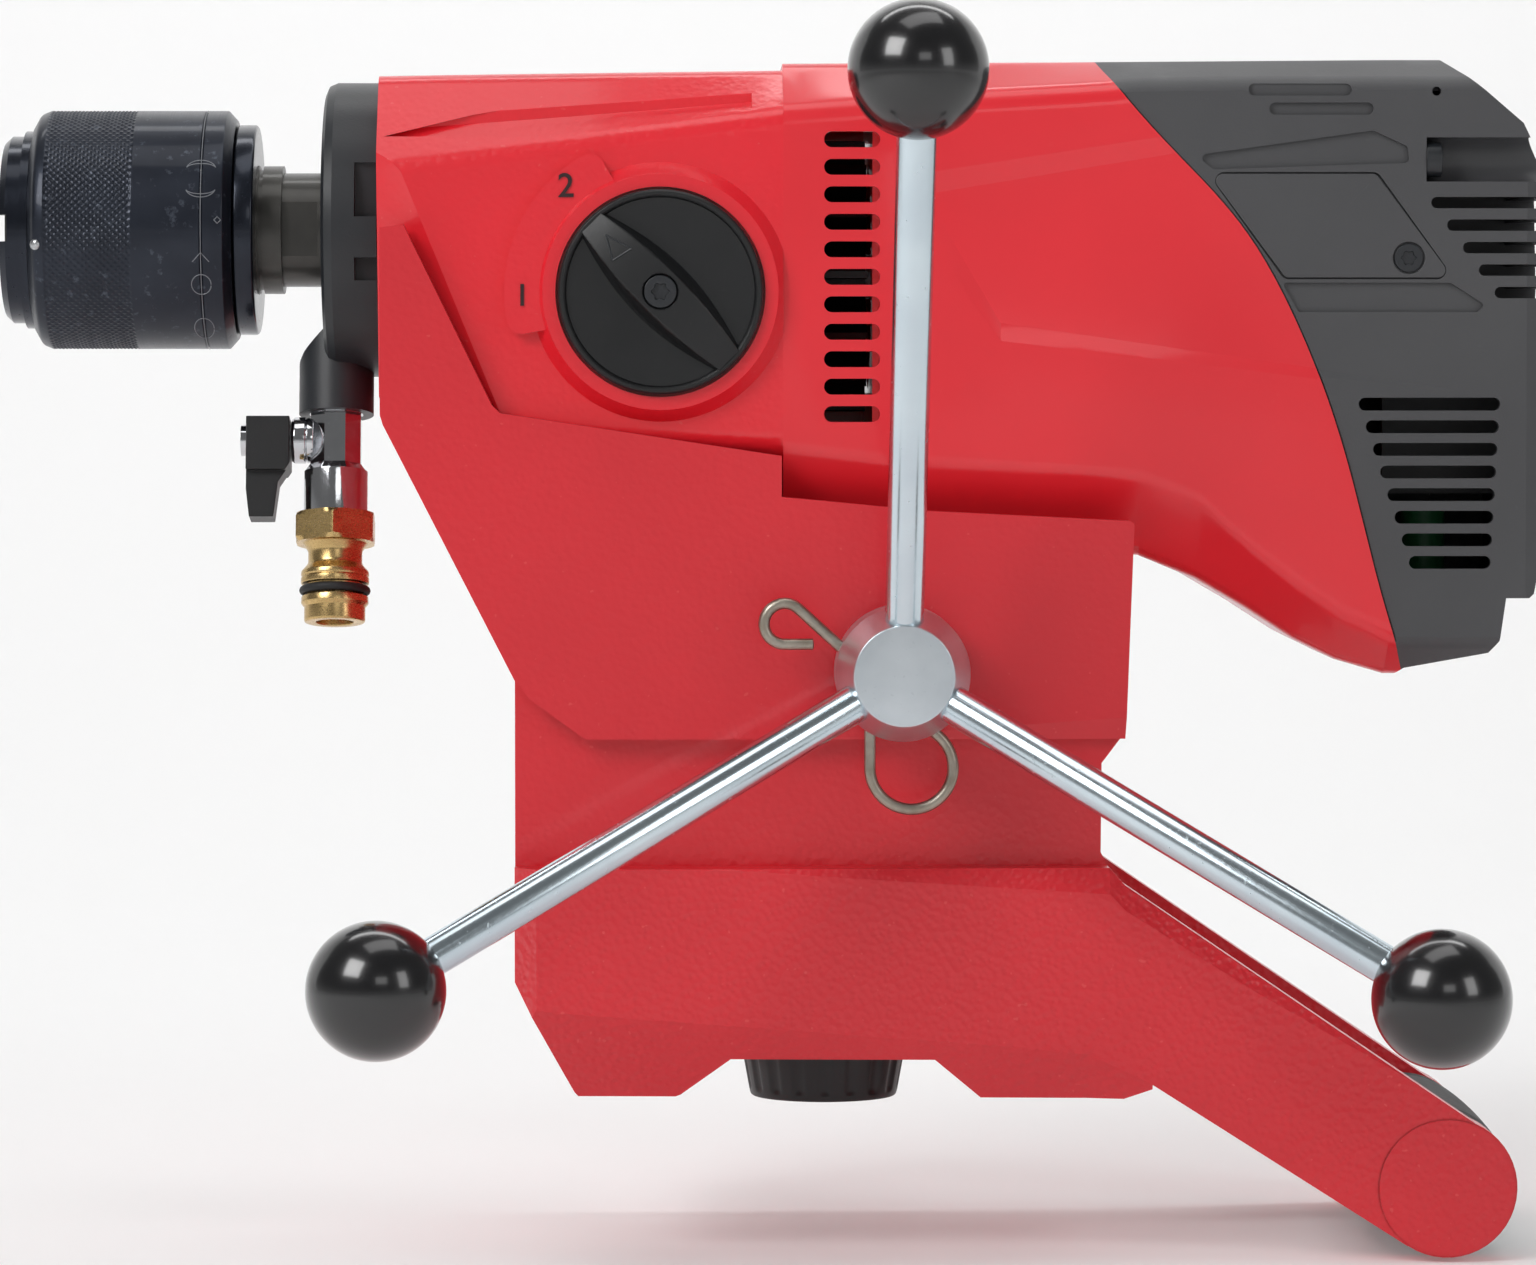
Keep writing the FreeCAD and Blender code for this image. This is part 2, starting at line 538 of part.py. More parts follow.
def make_motor():
    z = motor_z
    shaft = turned([(-26.5, 0), (-26.5, 4), (-6, 4), (-6, 6), (142, 6), (142, 4), (151, 4),
                    (151, 0)], (0, 0, z), (1, 0, 0))
    teeth = gear(motor_module, motor_pinion, -26.5, -16, z, -90 + 180 / motor_pinion)
    parts["armature_shaft"] = joined([teeth, shaft.cut(block(-27, -16, -6, 6, z - 6, z + 6))])
    core = tube(24.5, 6, (28, 0, z), (86, 0, z))
    slots = []
    for i in range(12):
        cut = block(27, 87, 17, 26, z - 1, z + 1)
        cut.rotate(Vector(0, 0, z), Vector(1, 0, 0), 30 * i)
        slots.append(cut)
    parts["armature_core"] = core.cut(slots)
    parts["commutator"] = tube(14, 6, (116, 0, z), (138, 0, z))
    blades = []
    for i in range(14):
        blade = block(2, 16, 12, 37, z - 0.9, z + 0.9)
        blade.rotate(Vector(0, 0, z), Vector(1, 0, 0), i * 360 / 14)
        blades.append(blade)
    hub = tube(14, 6, (0, 0, z), (16, 0, z))
    disc = tube(37, 6, (0, 0, z), (2, 0, z))
    parts["cooling_fan"] = joined([hub, disc] + blades)

    lamination = tube(41, 25.2, (30, 0, z), (84, 0, z))
    flats = [block(29, 85, s * 41.5 - 2.5, s * 41.5 + 2.5, z - 30, z + 30) for s in (-1, 1)]
    parts["stator"] = lamination.cut(flats)
    coils = [turned([(x, 27), (x, 36), (x + 2, 38), (x + 6, 38), (x + 8, 36), (x + 8, 27)],
                    (0, 0, z), (1, 0, 0)) for x in (22, 84)]
    parts["stator_windings"] = group(coils)
    parts["armature_bearings"] = group([ball_bearing(4 + running, 11, -14, -7, z),
                                        ball_bearing(4 + running, 11, 143, 150, z)])
    bracket = block(141, 152, -43.5, 43.5, z - 9, z + 9)
    bracket = joined([bracket, rod(16, (141, 0, z), (152, 0, z))])
    bracket = bracket.cut([rod(11, (143, 0, z), (151, 0, z)), rod(7, (140, 0, z), (153, 0, z))])
    parts["motor_end_bracket"] = bracket
    holders, brushes, springs = [], [], []
    for side in (-1, 1):
        holders.append(block(122, 134, min(side * 18, side * 42), max(side * 18, side * 42),
                             z - 6, z + 6).cut(block(124, 132, -43, 43, z - 4, z + 4)))
        near, far = sorted((side * 14.2, side * 30))
        brushes.append(block(124.2, 131.8, near, far, z - 3.8, z + 3.8))
        coil = Part.makeHelix(2.2, 11, 3.0)
        ring = Part.Wire(Part.makeCircle(0.5, Vector(3, 0, 0), Vector(0, 1, 0)))
        spring = Part.Wire(coil.Edges).makePipeShell([ring], True, True)
        start = Vector(128, side * 30.2, z)
        spring.Placement = Placement(start, Rotation(Vector(0, 0, 1), Vector(0, side, 0)))
        springs.append(Part.Solid(spring.Shells[0]))
    parts["brush_holders"] = group(holders)
    parts["carbon_brushes"] = group(brushes + springs)


def make_electrics():
    """Switch, control board and cable gland, all on the side away from the wheel."""
    module = block(152, 172, 24, 46.5, 91, 109).cut(block(153.5, 170.5, 38, 47, 92.5, 107.5))
    bezel = block(148, 176, unit_half, 50, 87, 113).cut(block(151.9, 172.1, 47, 51, 90.9, 109.1))
    sleeve = block(150.6, 173.4, 46.5, unit_half, 89.6, 110.4).cut(block(153, 171, 46, 49, 92, 108))
    parts["switch_module"] = joined([module, sleeve, bezel])
    rocker = plate([(154.2, 93.4), (169.8, 93.4), (169.8, 106.6), (154.2, 106.6)], 42, 51.5)
    dip = rod(30, (150, 80.8, 100), (175, 80.8, 100))
    pivot = rod(1.2, (153.8, 45, 100), (170.2, 45, 100))
    parts["switch_rocker"] = joined([rocker.cut(dip), pivot])
    board = block(118, 172, -20, 20, 72, 74)
    chips = [block(124, 140, -14, -2, 74, 84), block(146, 160, 0, 14, 74, 80),
             rod(6, (166, -10, 74), (166, -10, 92))]
    parts["control_board"] = joined([board] + chips)
    gland = turned([(44, 3.6), (44, 7.9), (48, 7.9), (48, 11), (51, 11), (51, 8.5), (57, 6.6),
                    (57, 3.6)], (176, 0, 128), (0, 1, 0))
    parts["cable_gland"] = gland


# --------------------------------------------------------- chuck and water feed

def make_chuck():
    z = drill_z
    base, axis = (0, 0, z), (1, 0, 0)
    body = turned([(-213.2, 17), (-213.2, 22), (-207, 22), (-207, 24), (-152.5, 24), (-152.5, 17.2),
                   (-140.2, 17.2), (-140.2, 11), (-165, 11), (-165, 8), (-172, 8), (-172, 17)],
                  base, axis)
    groove = tube(26, 16.2, (-146.6, 0, z), (-145.4, 0, z))
    # Three balls lock the bit; they stand back in their holes, clear of the socket
    holes, balls = [], []
    for degrees in (30, 150, 270):
        a = math.radians(degrees)
        holes.append(rod(3.5, (-190, 0, z), (-190, 30 * math.cos(a), z + 30 * math.sin(a))))
        balls.append(Part.makeSphere(3.4, Vector(-190, 20.55 * math.cos(a), z + 20.55 * math.sin(a))))
    parts["chuck_body"] = body.cut([groove] + holes)
    parts["chuck_lock_balls"] = group(balls)
    front = turned([(-214.7, 17.6), (-214.7, 23.4), (-212.9, 25.1), (-209.2, 25.1), (-209.2, 26.5),
                    (-207, 26.5), (-207, 22), (-213.2, 22), (-213.2, 17.6)], base, axis)
    notches = []
    for i in range(3):
        notch = block(-216, -212.4, 15, 30, z - 3.5, z + 3.5)
        notch.rotate(Vector(0, 0, z), Vector(1, 0, 0), 180 + 120 * i)
        notches.append(notch)
    parts["chuck_front_ring"] = front.cut(notches)
    sleeve = turned([(-206.8, 24 + 4 * running), (-206.8, 28), (-204.5, 31), (-202.3, 32),
                     (-201.9, 31.6), (-179.4, 31.6), (-179, 32), (-161, 32), (-160.5, 31.4),
                     (-160, 32), (-154.8, 32), (-152.6, 29.4), (-152.6, 24 + 4 * running)],
                    base, axis)
    parts["chuck_sleeve"] = sleeve
    parts["chuck_rear_ring"] = turned([(-152.4, 17.2), (-152.4, 27.6), (-151.8, 28.2),
                                       (-147.6, 28.2), (-147, 27.6), (-147, 17.2)], base, axis)


def tilted(shape):
    shape.rotate(Vector(0, 0, drill_z), Vector(1, 0, 0), swivel_tilt)
    return shape


def make_water_feed():
    z = drill_z
    down = (0, 0, -1)
    top = (water_x, 0, z)
    ring = turned([(-128.5, 15.4), (-128.5, 36.5), (-127.6, 38.6), (-125.5, 39.5),
                   (-113.6, 39.5), (-113.6, 19), (-117, 19), (-117, 15.4)], (0, 0, z), (1, 0, 0))
    boss = rod(10, (water_x, 0, z - 20), (water_x, 0, z - 50.8))
    boss = boss.cut(rod(17, (-140, 0, z), (-128.5, 0, z)))
    shoulder = [(-128.5, z - 15), (-128.5, z - 28.6), (-134.2, z - 34.4), (-135.6, z - 36.6),
                (-137, z - 41), (-137, z - 15)]
    boss = boss.cut(plate(shoulder, -12, 12))
    keyway = block(-119.5, -113, -41, -34, z + 2.8, z + 17.1)
    keyway_low = block(-119.5, -113, -41, -34, z - 14, z - 8)
    channel = rod(4, (water_x + 4, 0, z - 15), (water_x + 4, 0, z - 46))
    gallery = tube(18, 15.3, (-123.5, 0, z), (-118.5, 0, z))
    seat = rod(6.7, (water_x, 0, z - 46), (water_x, 0, z - 51))
    body = tilted(joined([ring, boss]).cut([gallery, channel, seat]))
    parts["swivel_clamp_ring"] = tube(33.9, 19.2, (-119.3, 0, z), (-113.6, 0, z))
    seal_places = (-127.4, -117.6)
    seals = [tube(18, 15.3 + running, (x, 0, z), (x + 2.2, 0, z)) for x in seal_places]
    seal_rooms = [rod(18, (x, 0, z), (x + 2.2, 0, z)) for x in seal_places]
    clamp_room = rod(33.9, (-119.3, 0, z), (-113, 0, z))
    parts["water_swivel"] = body.cut([keyway, keyway_low, clamp_room] + seal_rooms)

    # Ball valve
    neck = turned([(46, 0), (46, 6.6), (50.8, 6.6), (50.8, 7.2), (64.5, 7.2), (67.5, 8.55),
                   (78, 8.55), (78, 0)], top, down)
    corners = [Vector(7.25 * math.cos(a), 7.25 * math.sin(a), 0)
               for a in (math.radians(22.5 + 45 * i) for i in range(8))]
    octagon = Part.Face(Part.makePolygon(corners + corners[:1])).extrude(Vector(0, 0, 13.7))
    octagon.translate(Vector(water_x, 0, z - 64.5))
    neck = neck.common(joined([octagon, rod(12, (water_x, 0, z - 78), (water_x, 0, z - 64.4)),
                               rod(12, (water_x, 0, z - 50.9), (water_x, 0, z - 45))]))
    bush = rod(6.25, (water_x, 0, z - stem_drop), (-137.6, 0, z - stem_drop))
    way = rod(3.4, (water_x, 0, z - 45), (water_x, 0, z - 79))
    cavity = Part.makeSphere(5.4, Vector(water_x, 0, z - stem_drop))
    stem_bore = rod(2.5 + running, (-120, 0, z - stem_drop), (-140, 0, z - stem_drop))
    stem_bore = stem_bore.cut(block(water_x, -110, -9, 9, z - 80, z - 40))
    valve = joined([neck, bush]).cut([way, cavity, stem_bore])
    parts["valve_body"] = tilted(valve)
    ball = Part.makeSphere(5.3, Vector(water_x, 0, z - stem_drop))
    ball = ball.cut([rod(3.4, (water_x, 0, z - 45), (water_x, 0, z - 79)),
                     block(water_x - 6, water_x - 4.2, -6, 6, z - stem_drop - 6, z - stem_drop + 6)])
    stem = rod(2.5, (-150.4, 0, z - stem_drop), (water_x - 4.2, 0, z - stem_drop))
    lever_nut = rod(4.2, (-151.2, 0, z - stem_drop), (-149.6, 0, z - stem_drop))
    parts["valve_ball_and_stem"] = tilted(joined([ball, stem, lever_nut]))
    lever_outline = [(-149.6, 5.5), (-138, 5.5), (-138, -7.5), (-141, -12), (-142.2, -21.5),
                     (-148.7, -21.5), (-149.6, -14)]
    lever = plate([(x, z - stem_drop + dz) for x, dz in lever_outline], -6.5, 6.5)
    waist = [block(-152, -136, min(s * 4.4, s * 8), max(s * 4.4, s * 8), z - stem_drop - 25,
                   z - stem_drop - 9) for s in (-1, 1)]
    lever = lever.cut(waist + [rod(2.5, (-151, 0, z - stem_drop), (-137, 0, z - stem_drop))])
    parts["valve_lever"] = tilted(lever)

    # Brass hose nipple with its O-ring
    stages = turned([(78, 3.4), (78, 11), (86, 11), (86, 7.8), (88, 7.2), (91.5, 7.2), (93.6, 9.1),
                     (97.0, 9.1), (97.0, 7.4), (100.4, 7.4), (100.4, 9.0), (102.2, 9.0),
                     (103.2, 8.15), (107.3, 8.15), (107.3, 5), (90, 5), (88, 3.4)], top, down)
    corners = [Vector(11.9 * math.cos(a), 11.9 * math.sin(a), 0)
               for a in (math.radians(60 * i) for i in range(6))]
    hexagon = Part.Face(Part.makePolygon(corners + corners[:1])).extrude(Vector(0, 0, 8))
    hexagon.translate(Vector(water_x, 0, z - 86))
    rest = rod(12, (water_x, 0, z - 108), (water_x, 0, z - 86))
    parts["hose_nipple"] = tilted(stages.common(joined([hexagon, rest])))
    ring = Part.makeTorus(8.35, 1.15, Vector(water_x, 0, z - 98.7), Vector(0, 0, 1))
    ring = tilted(ring.cut(rod(7.4, (water_x, 0, z - 96), (water_x, 0, z - 102))))
    parts["water_seals"] = group(seals + [ring])


# ------------------------------------------------------------------ the carriage

saddle_outline = [(-112, 165.5), (-105.8, 166.3), (-82.8, 119.2), (-80.7, 117.1), (-7, 105.9),
                  (-7, 95.2), (31.7, 91.5), (84, 88.9), (85.3, 88.1), (83.2, 31.7), (-58.4, 31.7),
                  (-72.8, 42.1), (-77, 47.3), (-111.2, 114), (-112, 116.6)]
neck_outline = [(-casting_x, 50), (83.2, 40), (83.2, 33), (77.2, 25.1), (77, 1.6), (79.3, -2.8),
                (79.3, -12), (-casting_x, -12)]
bulge_outline = [(-casting_x, -1.9), (78.8, -1.9), (82.9, -6.5), (90, -12), (90, -59.8),
                 (82.7, -62.7), (45.3, -62.7), (33.1, -52.2), (-20.4, -52.2), (-33.6, -62.2),
                 (-34.9, -62.7), (-60.5, -62.7), (-61.5, -61.6), (-casting_x, -32)]
cradle_outline = [(-130, 230), (-130, 122.5), (front_x, 120.7), (-98, 99.7), (-7, 97.7),
                  (-7, 79.6), (72, 79.6), (90, 78.6), (90, 230)]
arm_outline = [(60, -2.3), (78.8, -1.9), (82.9, -6.5), (177.8, -71.0), (157.0, -101.1),
               (88.8, -57.8), (73.2, -50.5), (60, -49.2)]


def make_carriage():
    saddle = plate(saddle_outline, -saddle_half, saddle_half)
    neck = plate(neck_outline, -neck_half, neck_half)
    bulge = plate(bulge_outline, -bulge_half, bulge_half)
    # The lower flanks lean inwards below a crease that falls towards the handle
    creases = [(-90, -36), (-64.9, -39.6), (49.7, -48.2), (73.2, -50.5), (95, -60.7)]
    lean = prism_loft([(x, flank_wedge(crease)) for x, crease in creases])
    bulge = bulge.cut(both_sides(lean))
    corner = floor_plan([(-casting_x - 5, -80), (-71.2, -80), (-71.2, -bulge_half),
                         (-casting_x, -bulge_half + 6), (-casting_x - 5, -bulge_half + 6)], -70, -1.9)
    bulge = bulge.cut(both_sides(corner))
    arms = both_sides(joined([plate(arm_outline, -bulge_half, -grip_half),
                              rod(18.4, (handle_x, -bulge_half, handle_z),
                                  (handle_x, -grip_half, handle_z))]))
    inside_rear = block(casting_x, 100, -grip_half, grip_half, -110, -1.8)
    tunnel_cut = tunnel_clear + pad_thickness
    hollow = [block(-90, 110, -tunnel_cut, tunnel_cut, -tunnel_cut, tunnel_cut),
              block(-90, 110, -rack_half, rack_half, 0, rack_top)]
    cradle = plate(cradle_outline, -cradle_half, cradle_half)
    pinion_room = rod(18.2, (wheel_x, -12.5, wheel_z), (wheel_x, 12.5, wheel_z))
    bores = [rod(13, (wheel_x, -70, wheel_z), (wheel_x, 70, wheel_z)),
             rod(10.5 + running, (handle_x, -61, handle_z), (handle_x, 61, handle_z)),
             rod(5 + running, (lock_x, 0, -70), (lock_x, 0, -20)),
             rod(24.5, (lock_x, 0, -53), (lock_x, 0, -48.2)),
             block(lock_x - 16.3, lock_x + 16.3, -16.3, 16.3, -38, -20)]
    # Core pockets lighten the saddle between the tunnel roof and the cradle floor
    pockets = [floor_plan([(x0, -40), (x1, -40), (x1, 40), (x0, 40)], z0, z1)
               for x0, x1, z0, z1 in ((-62, -8, 46, 88), (54, 74, 44, 70))]
    seam = tube(18.4, 17.9, (handle_x, -bulge_half, handle_z), (handle_x, -bulge_half + 0.5, handle_z))
    casting = joined([saddle, neck, bulge]).cut(inside_rear)
    casting = joined([casting, arms])
    # Facets: along the top of bulge and arm, and under the rear of the saddle
    ridge = [(-25, -1.9, 0.05, 0.05), (78.8, -1.9, 6.7, 4.0), (82.9, -6.5, 6.5, 4.0),
             (118, -30.4, 4.5, 2.6), (156, -56.2, 0.3, 0.3)]
    shoulder = prism_loft([(x, top_wedge(bulge_half, top, drop, depth))
                           for x, top, drop, depth in ridge])
    underside = prism_loft([(x, [(-saddle_half - 4, 31), (-saddle_half - 4, top), (-saddle_half, top),
                                 (-saddle_half + depth, 31)])
                            for x, top, depth in ((3, 31.8, 0.05), (90, 37.9, 3.2))])
    casting = casting.cut([both_sides(shoulder), both_sides(underside)])
    bolts = [rod(3.3, (x, y, 40), (x, y, 100)) for x, y in carriage_bolt_places()]
    heads = [rod(6.2, (x, y, 40), (x, y, 91.7 if x < 0 else 73.7)) for x, y in carriage_bolt_places()]
    cuts = hollow + [cradle, pinion_room] + bores + pockets + [both_sides(seam)] + bolts + heads
    parts["carriage_casting"] = casting.cut(cuts)

    pads = []
    for x in (-58, 58):
        for side in (-1, 1):
            y0, y1 = sorted((side * tunnel_clear, side * tunnel_cut))
            pads += [block(x - 16, x + 16, y0, y1, -26, -8), block(x - 16, x + 16, y0, y1, 8, 26)]
            wide = sorted((side * 14, side * 27))
            pads += [block(x - 16, x + 16, *wide, tunnel_clear, tunnel_cut),
                     block(x - 16, x + 16, *wide, -tunnel_cut, -tunnel_clear)]
    parts["guide_pads"] = group(pads)
    parts["handle_bar"] = rod(10.5, (handle_x, -61, handle_z), (handle_x, 61, handle_z))
    grip = turned([(-47.8, 10.5), (-47.8, 17.2), (-46.4, 18.3), (-24, 19), (0, 19.2), (24, 19),
                   (46.4, 18.3), (47.8, 17.2), (47.8, 10.5)], (handle_x, 0, handle_z), (0, 1, 0))
    parts["handle_grip"] = grip
    bolt_set = []
    for x, y in carriage_bolt_places():
        seat = 91.7 if x < 0 else 73.7
        bolt_set.append(joined([rod(5.6, (x, y, seat - 6), (x, y, seat)),
                                rod(3.3, (x, y, seat), (x, y, seat + 6))]))
    parts["carriage_bolts"] = group(bolt_set)


def carriage_bolt_places():
    return [(-48, -24), (-48, 24), (64, -24), (64, 24)]


def flank_wedge(crease):
    """Corners of the space beside the lower flank, from its crease to below the feet."""
    slope = 12.0 / 22.0
    deep = -70
    return [(-bulge_half, crease), (-bulge_half - 8, crease), (-bulge_half - 8, deep),
            (-bulge_half + slope * (crease - deep), deep)]


def top_wedge(half, top, drop, depth):
    """Corners of the space above a sloping facet on the upper outer edge."""
    return [(-half - 3, top - drop), (-half, top - drop), (-half + depth, top),
            (-half + depth, top + 3), (-half - 3, top + 3)]


def make_lock():
    knob = turned([(-68, 0), (-68, 19.2), (-67.2, 19.9), (-54, 22.3), (-51, 22.3), (-50.2, 21.4),
                   (-50.2, 0)], (lock_x, 0, 0), (0, 0, 1))
    flutes = []
    for i in range(18):
        a = math.radians(20 * i)
        x, y = lock_x + 23.4 * math.cos(a), 23.4 * math.sin(a)
        flutes.append(rod(1.7, (x, y, -69), (x, y, -52.5)))
    knob = knob.cut(flutes + [rod(5, (lock_x, 0, -60), (lock_x, 0, -50)),
                              rod(13, (lock_x, 0, -69), (lock_x, 0, -66.5))])
    parts["lock_knob"] = knob
    parts["lock_screw"] = rod(5, (lock_x, 0, -60), (lock_x, 0, -37.0))
    pad = block(lock_x - 16, lock_x + 16, -16, 16, -37.0, -32.6)
    parts["lock_pad"] = pad


# ----------------------------------------------------------------- the hand wheel

def clip_path():
    """Spring clip's centre line: loop below the hub, long leg through it, end curl."""
    loop = Vector(26.4, clip_y, 25.3)
    bend = 10.8
    run = Vector(-0.740, 0, 0.673).normalize()
    across = Vector(0.673, 0, 0.740).normalize()
    leave = loop + across * bend
    curl_start = Vector(-3.3, clip_y, 66.4)
    curl_start = leave + run * (curl_start - leave).dot(run)
    curl_bend = 5.3
    curl = curl_start - across * curl_bend
    left = loop + Vector(-bend, 0, 0)
    below = loop + Vector(0, 0, -bend)
    tip = curl + Vector(0, 0, -curl_bend)
    edges = [Part.makeLine(left + Vector(0, 0, 16), left), Part.Arc(left, below, leave).toShape(),
             Part.makeLine(leave, curl_start),
             Part.Arc(curl_start, curl + Vector(-curl_bend, 0, 0), tip).toShape(),
             Part.makeLine(tip, tip + Vector(7.3, 0, 0))]
    return Part.Wire(edges)


def clip_solid(radius):
    path = clip_path()
    start = path.Edges[0].Vertexes[0].Point
    ring = Part.Wire(Part.makeCircle(radius, start, Vector(0, 0, 1)))
    return Part.Solid(path.makePipeShell([ring], True, False).Shells[0])


def make_wheel():
    centre = (wheel_x, 0, wheel_z)
    hub = turned([(-93, 0), (-93, 12.6), (-92.6, 13), (-82, 17.4), (-61, 17.4), (-60, 16.4),
                  (-60, 9.0), (-82, 9.0), (-82, 0)], centre, (0, 1, 0))
    spokes, balls = [], []
    for degrees in spoke_angles:
        a = math.radians(degrees)
        radial = Vector(math.cos(a), 0, math.sin(a))
        lean = radial * math.cos(spoke_dish) + Vector(0, -math.sin(spoke_dish), 0)
        foot = Vector(wheel_x, -88, wheel_z) + radial * 15
        start = foot - lean * 6
        end = foot + lean * ((wheel_radius - 15) / math.cos(spoke_dish))
        spokes.append(Part.makeCylinder(spoke_radius, (end - start).Length, start, lean))
        ball = Part.makeSphere(ball_radius, end)
        trim = Part.makeCylinder(12, 8, end - lean * (ball_radius - 0.9 + 8), lean)
        balls.append(ball.cut([trim, spokes[-1]]))
    clip = clip_solid(clip_wire)
    clip_room = clip_solid(clip_wire + 0.1)
    parts["wheel_hub"] = max(hub.cut(spokes + [clip_room]).Solids, key=lambda s: s.Volume)
    parts["wheel_spokes"] = group(spokes)
    parts["ball_knobs"] = group(balls)
    parts["spring_clip"] = clip

    shaft = turned([(-81.5, 0), (-81.5, 9.0), (-58, 9.0), (-58, 10),
                    (58, 10), (58, 9.0), (72, 9.0), (73, 8.0), (73, 0)], centre, (0, 1, 0))
    teeth = gear(feed_module, feed_teeth, -11, 11, 0, 90)
    teeth.rotate(Vector(0, 0, 0), Vector(0, 0, 1), 90)
    teeth.translate(Vector(*centre))
    cross = rod(1.7, (wheel_x - 15, 66, wheel_z), (wheel_x + 15, 66, wheel_z))
    parts["pinion_shaft"] = joined([shaft, teeth]).cut([clip_room, cross])
    bushes = []
    for side in (-1, 1):
        bush = turned([(14, 10 + running), (14, 13), (56, 13), (56, 15.5), (57.8, 15.5),
                       (57.8, 10 + running)], centre, (0, side, 0))
        bushes.append(bush)
    parts["pinion_bushes"] = group(bushes)


make_housings()
make_covers()
make_gear_train()
make_shift_fork(*make_selector())
make_motor()
make_electrics()
make_chuck()
make_water_feed()
make_carriage()
make_lock()
make_wheel()

os.makedirs("parts", exist_ok=True)
for name, shape in parts.items():
    solids = shape.Solids
    bad = [s for s in solids if not s.isValid()]
    print(f"{name:24s} solids {len(solids):3d} volume {shape.Volume / 1000:9.2f} cm3"
          + ("  INVALID" if bad or not solids else ""))
    shape.exportStep(f"parts/{name}.step")
print(len(parts), "nodes")
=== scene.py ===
import json
import math

import bmesh
import bpy
import numpy as np
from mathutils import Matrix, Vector


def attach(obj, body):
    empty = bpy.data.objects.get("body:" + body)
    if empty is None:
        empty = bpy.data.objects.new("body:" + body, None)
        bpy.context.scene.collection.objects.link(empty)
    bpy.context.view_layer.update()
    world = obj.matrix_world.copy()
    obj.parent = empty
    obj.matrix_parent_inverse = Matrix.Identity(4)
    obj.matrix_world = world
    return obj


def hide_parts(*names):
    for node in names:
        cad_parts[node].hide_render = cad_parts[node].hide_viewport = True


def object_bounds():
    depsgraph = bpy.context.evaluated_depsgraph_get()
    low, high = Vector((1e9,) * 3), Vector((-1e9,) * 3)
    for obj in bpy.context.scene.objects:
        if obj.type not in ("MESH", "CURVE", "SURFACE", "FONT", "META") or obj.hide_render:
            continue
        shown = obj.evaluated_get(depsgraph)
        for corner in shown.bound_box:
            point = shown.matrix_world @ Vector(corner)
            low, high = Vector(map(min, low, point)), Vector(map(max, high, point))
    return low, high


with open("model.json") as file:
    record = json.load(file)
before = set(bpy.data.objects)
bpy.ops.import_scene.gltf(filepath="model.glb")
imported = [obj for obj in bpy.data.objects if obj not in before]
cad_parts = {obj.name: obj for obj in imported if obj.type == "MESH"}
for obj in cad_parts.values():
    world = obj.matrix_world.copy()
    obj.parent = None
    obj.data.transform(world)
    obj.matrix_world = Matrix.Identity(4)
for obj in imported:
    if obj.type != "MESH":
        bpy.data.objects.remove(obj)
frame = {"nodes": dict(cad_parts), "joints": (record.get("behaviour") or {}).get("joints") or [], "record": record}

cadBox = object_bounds()
mm = 0.001

# the machine's axes, bodies and finishes come from the frame
record = frame["record"]
joints = {joint["name"]: joint for joint in frame["joints"]}
bodyOf = {node: body for body, nodes in record["behaviour"]["bodies"].items() for node in nodes}
slotOf = {row["node"]: row["material_slot"] for row in record["subparts"]}
axisNames = ("spindle_turn", "wheel_turn", "selector_turn", "lock_knob_turn")
axes = [np.array(joints[name]["pos_m"], float) for name in axisNames]
spindleAxis, wheelAxis, selectorAxis, lockAxis = axes
print("frame loaded,", len(frame["nodes"]), "nodes")


def lookAt(thing, target):
    aim = Vector(target) - thing.location
    thing.rotation_euler = aim.to_track_quat("-Z", "Y").to_euler()


cameraSettings = {"place": (-0.031, -1.7, 0.12915), "aim": (-0.00992, 0.0, 0.05739), "lens": 147.42}


def makeCamera(s):
    data = bpy.data.cameras.new("camera")
    data.lens = s["lens"]
    data.sensor_width = 36
    data.clip_start = 0.05
    data.clip_end = 20
    camera = bpy.data.objects.new("camera", data)
    camera.location = s["place"]
    lookAt(camera, s["aim"])
    bpy.context.collection.objects.link(camera)
    bpy.context.scene.camera = camera
    # plain colours, without a film curve that would turn the reds pale
    bpy.context.scene.view_settings.view_transform = "Standard"


studioSettings = {
    "world": 0.16,
    "skyline": 0.38,
    "skylineHigh": 0.15,
    "boxes": {
        "keyBox": {"place": (-1.1, -1.2, 1.2), "size": (0.9, 0.9), "watts": 20, "aim": (0, 0, 0.06)},
        "sideBox": {"place": (1.45, -1.4, 0.75), "size": (0.6, 0.9), "watts": 5.5, "aim": (0, 0, 0.06)},
        "topBox": {"place": (0.1, -0.2, 1.6), "size": (1.2, 0.6), "watts": 4, "aim": (0, 0, 0.06)},
        "sheenBox": {"place": (0.4, -2.4, 0.95), "size": (0.8, 0.5), "watts": 2.2, "aim": (0, 0, 0.12)},
        "wallBox": {"place": (0.0, 0.7, 1.7), "size": (2.0, 0.5), "watts": 15, "aim": (0, 1.9, 0.1)},
    },
    "floorTone": (0.80, 0.80, 0.80),
    "floorGlow": 0.14,
    "floorBack": 0.9,
    "floorBend": 0.7,
    "floorRise": 2.5,
    "floorHalf": 12.0,
    "backdropHalf": 4.0,
    "glowFrom": 1.8,
    "glowTo": 4.5,
    "farGlow": 0.62,
}


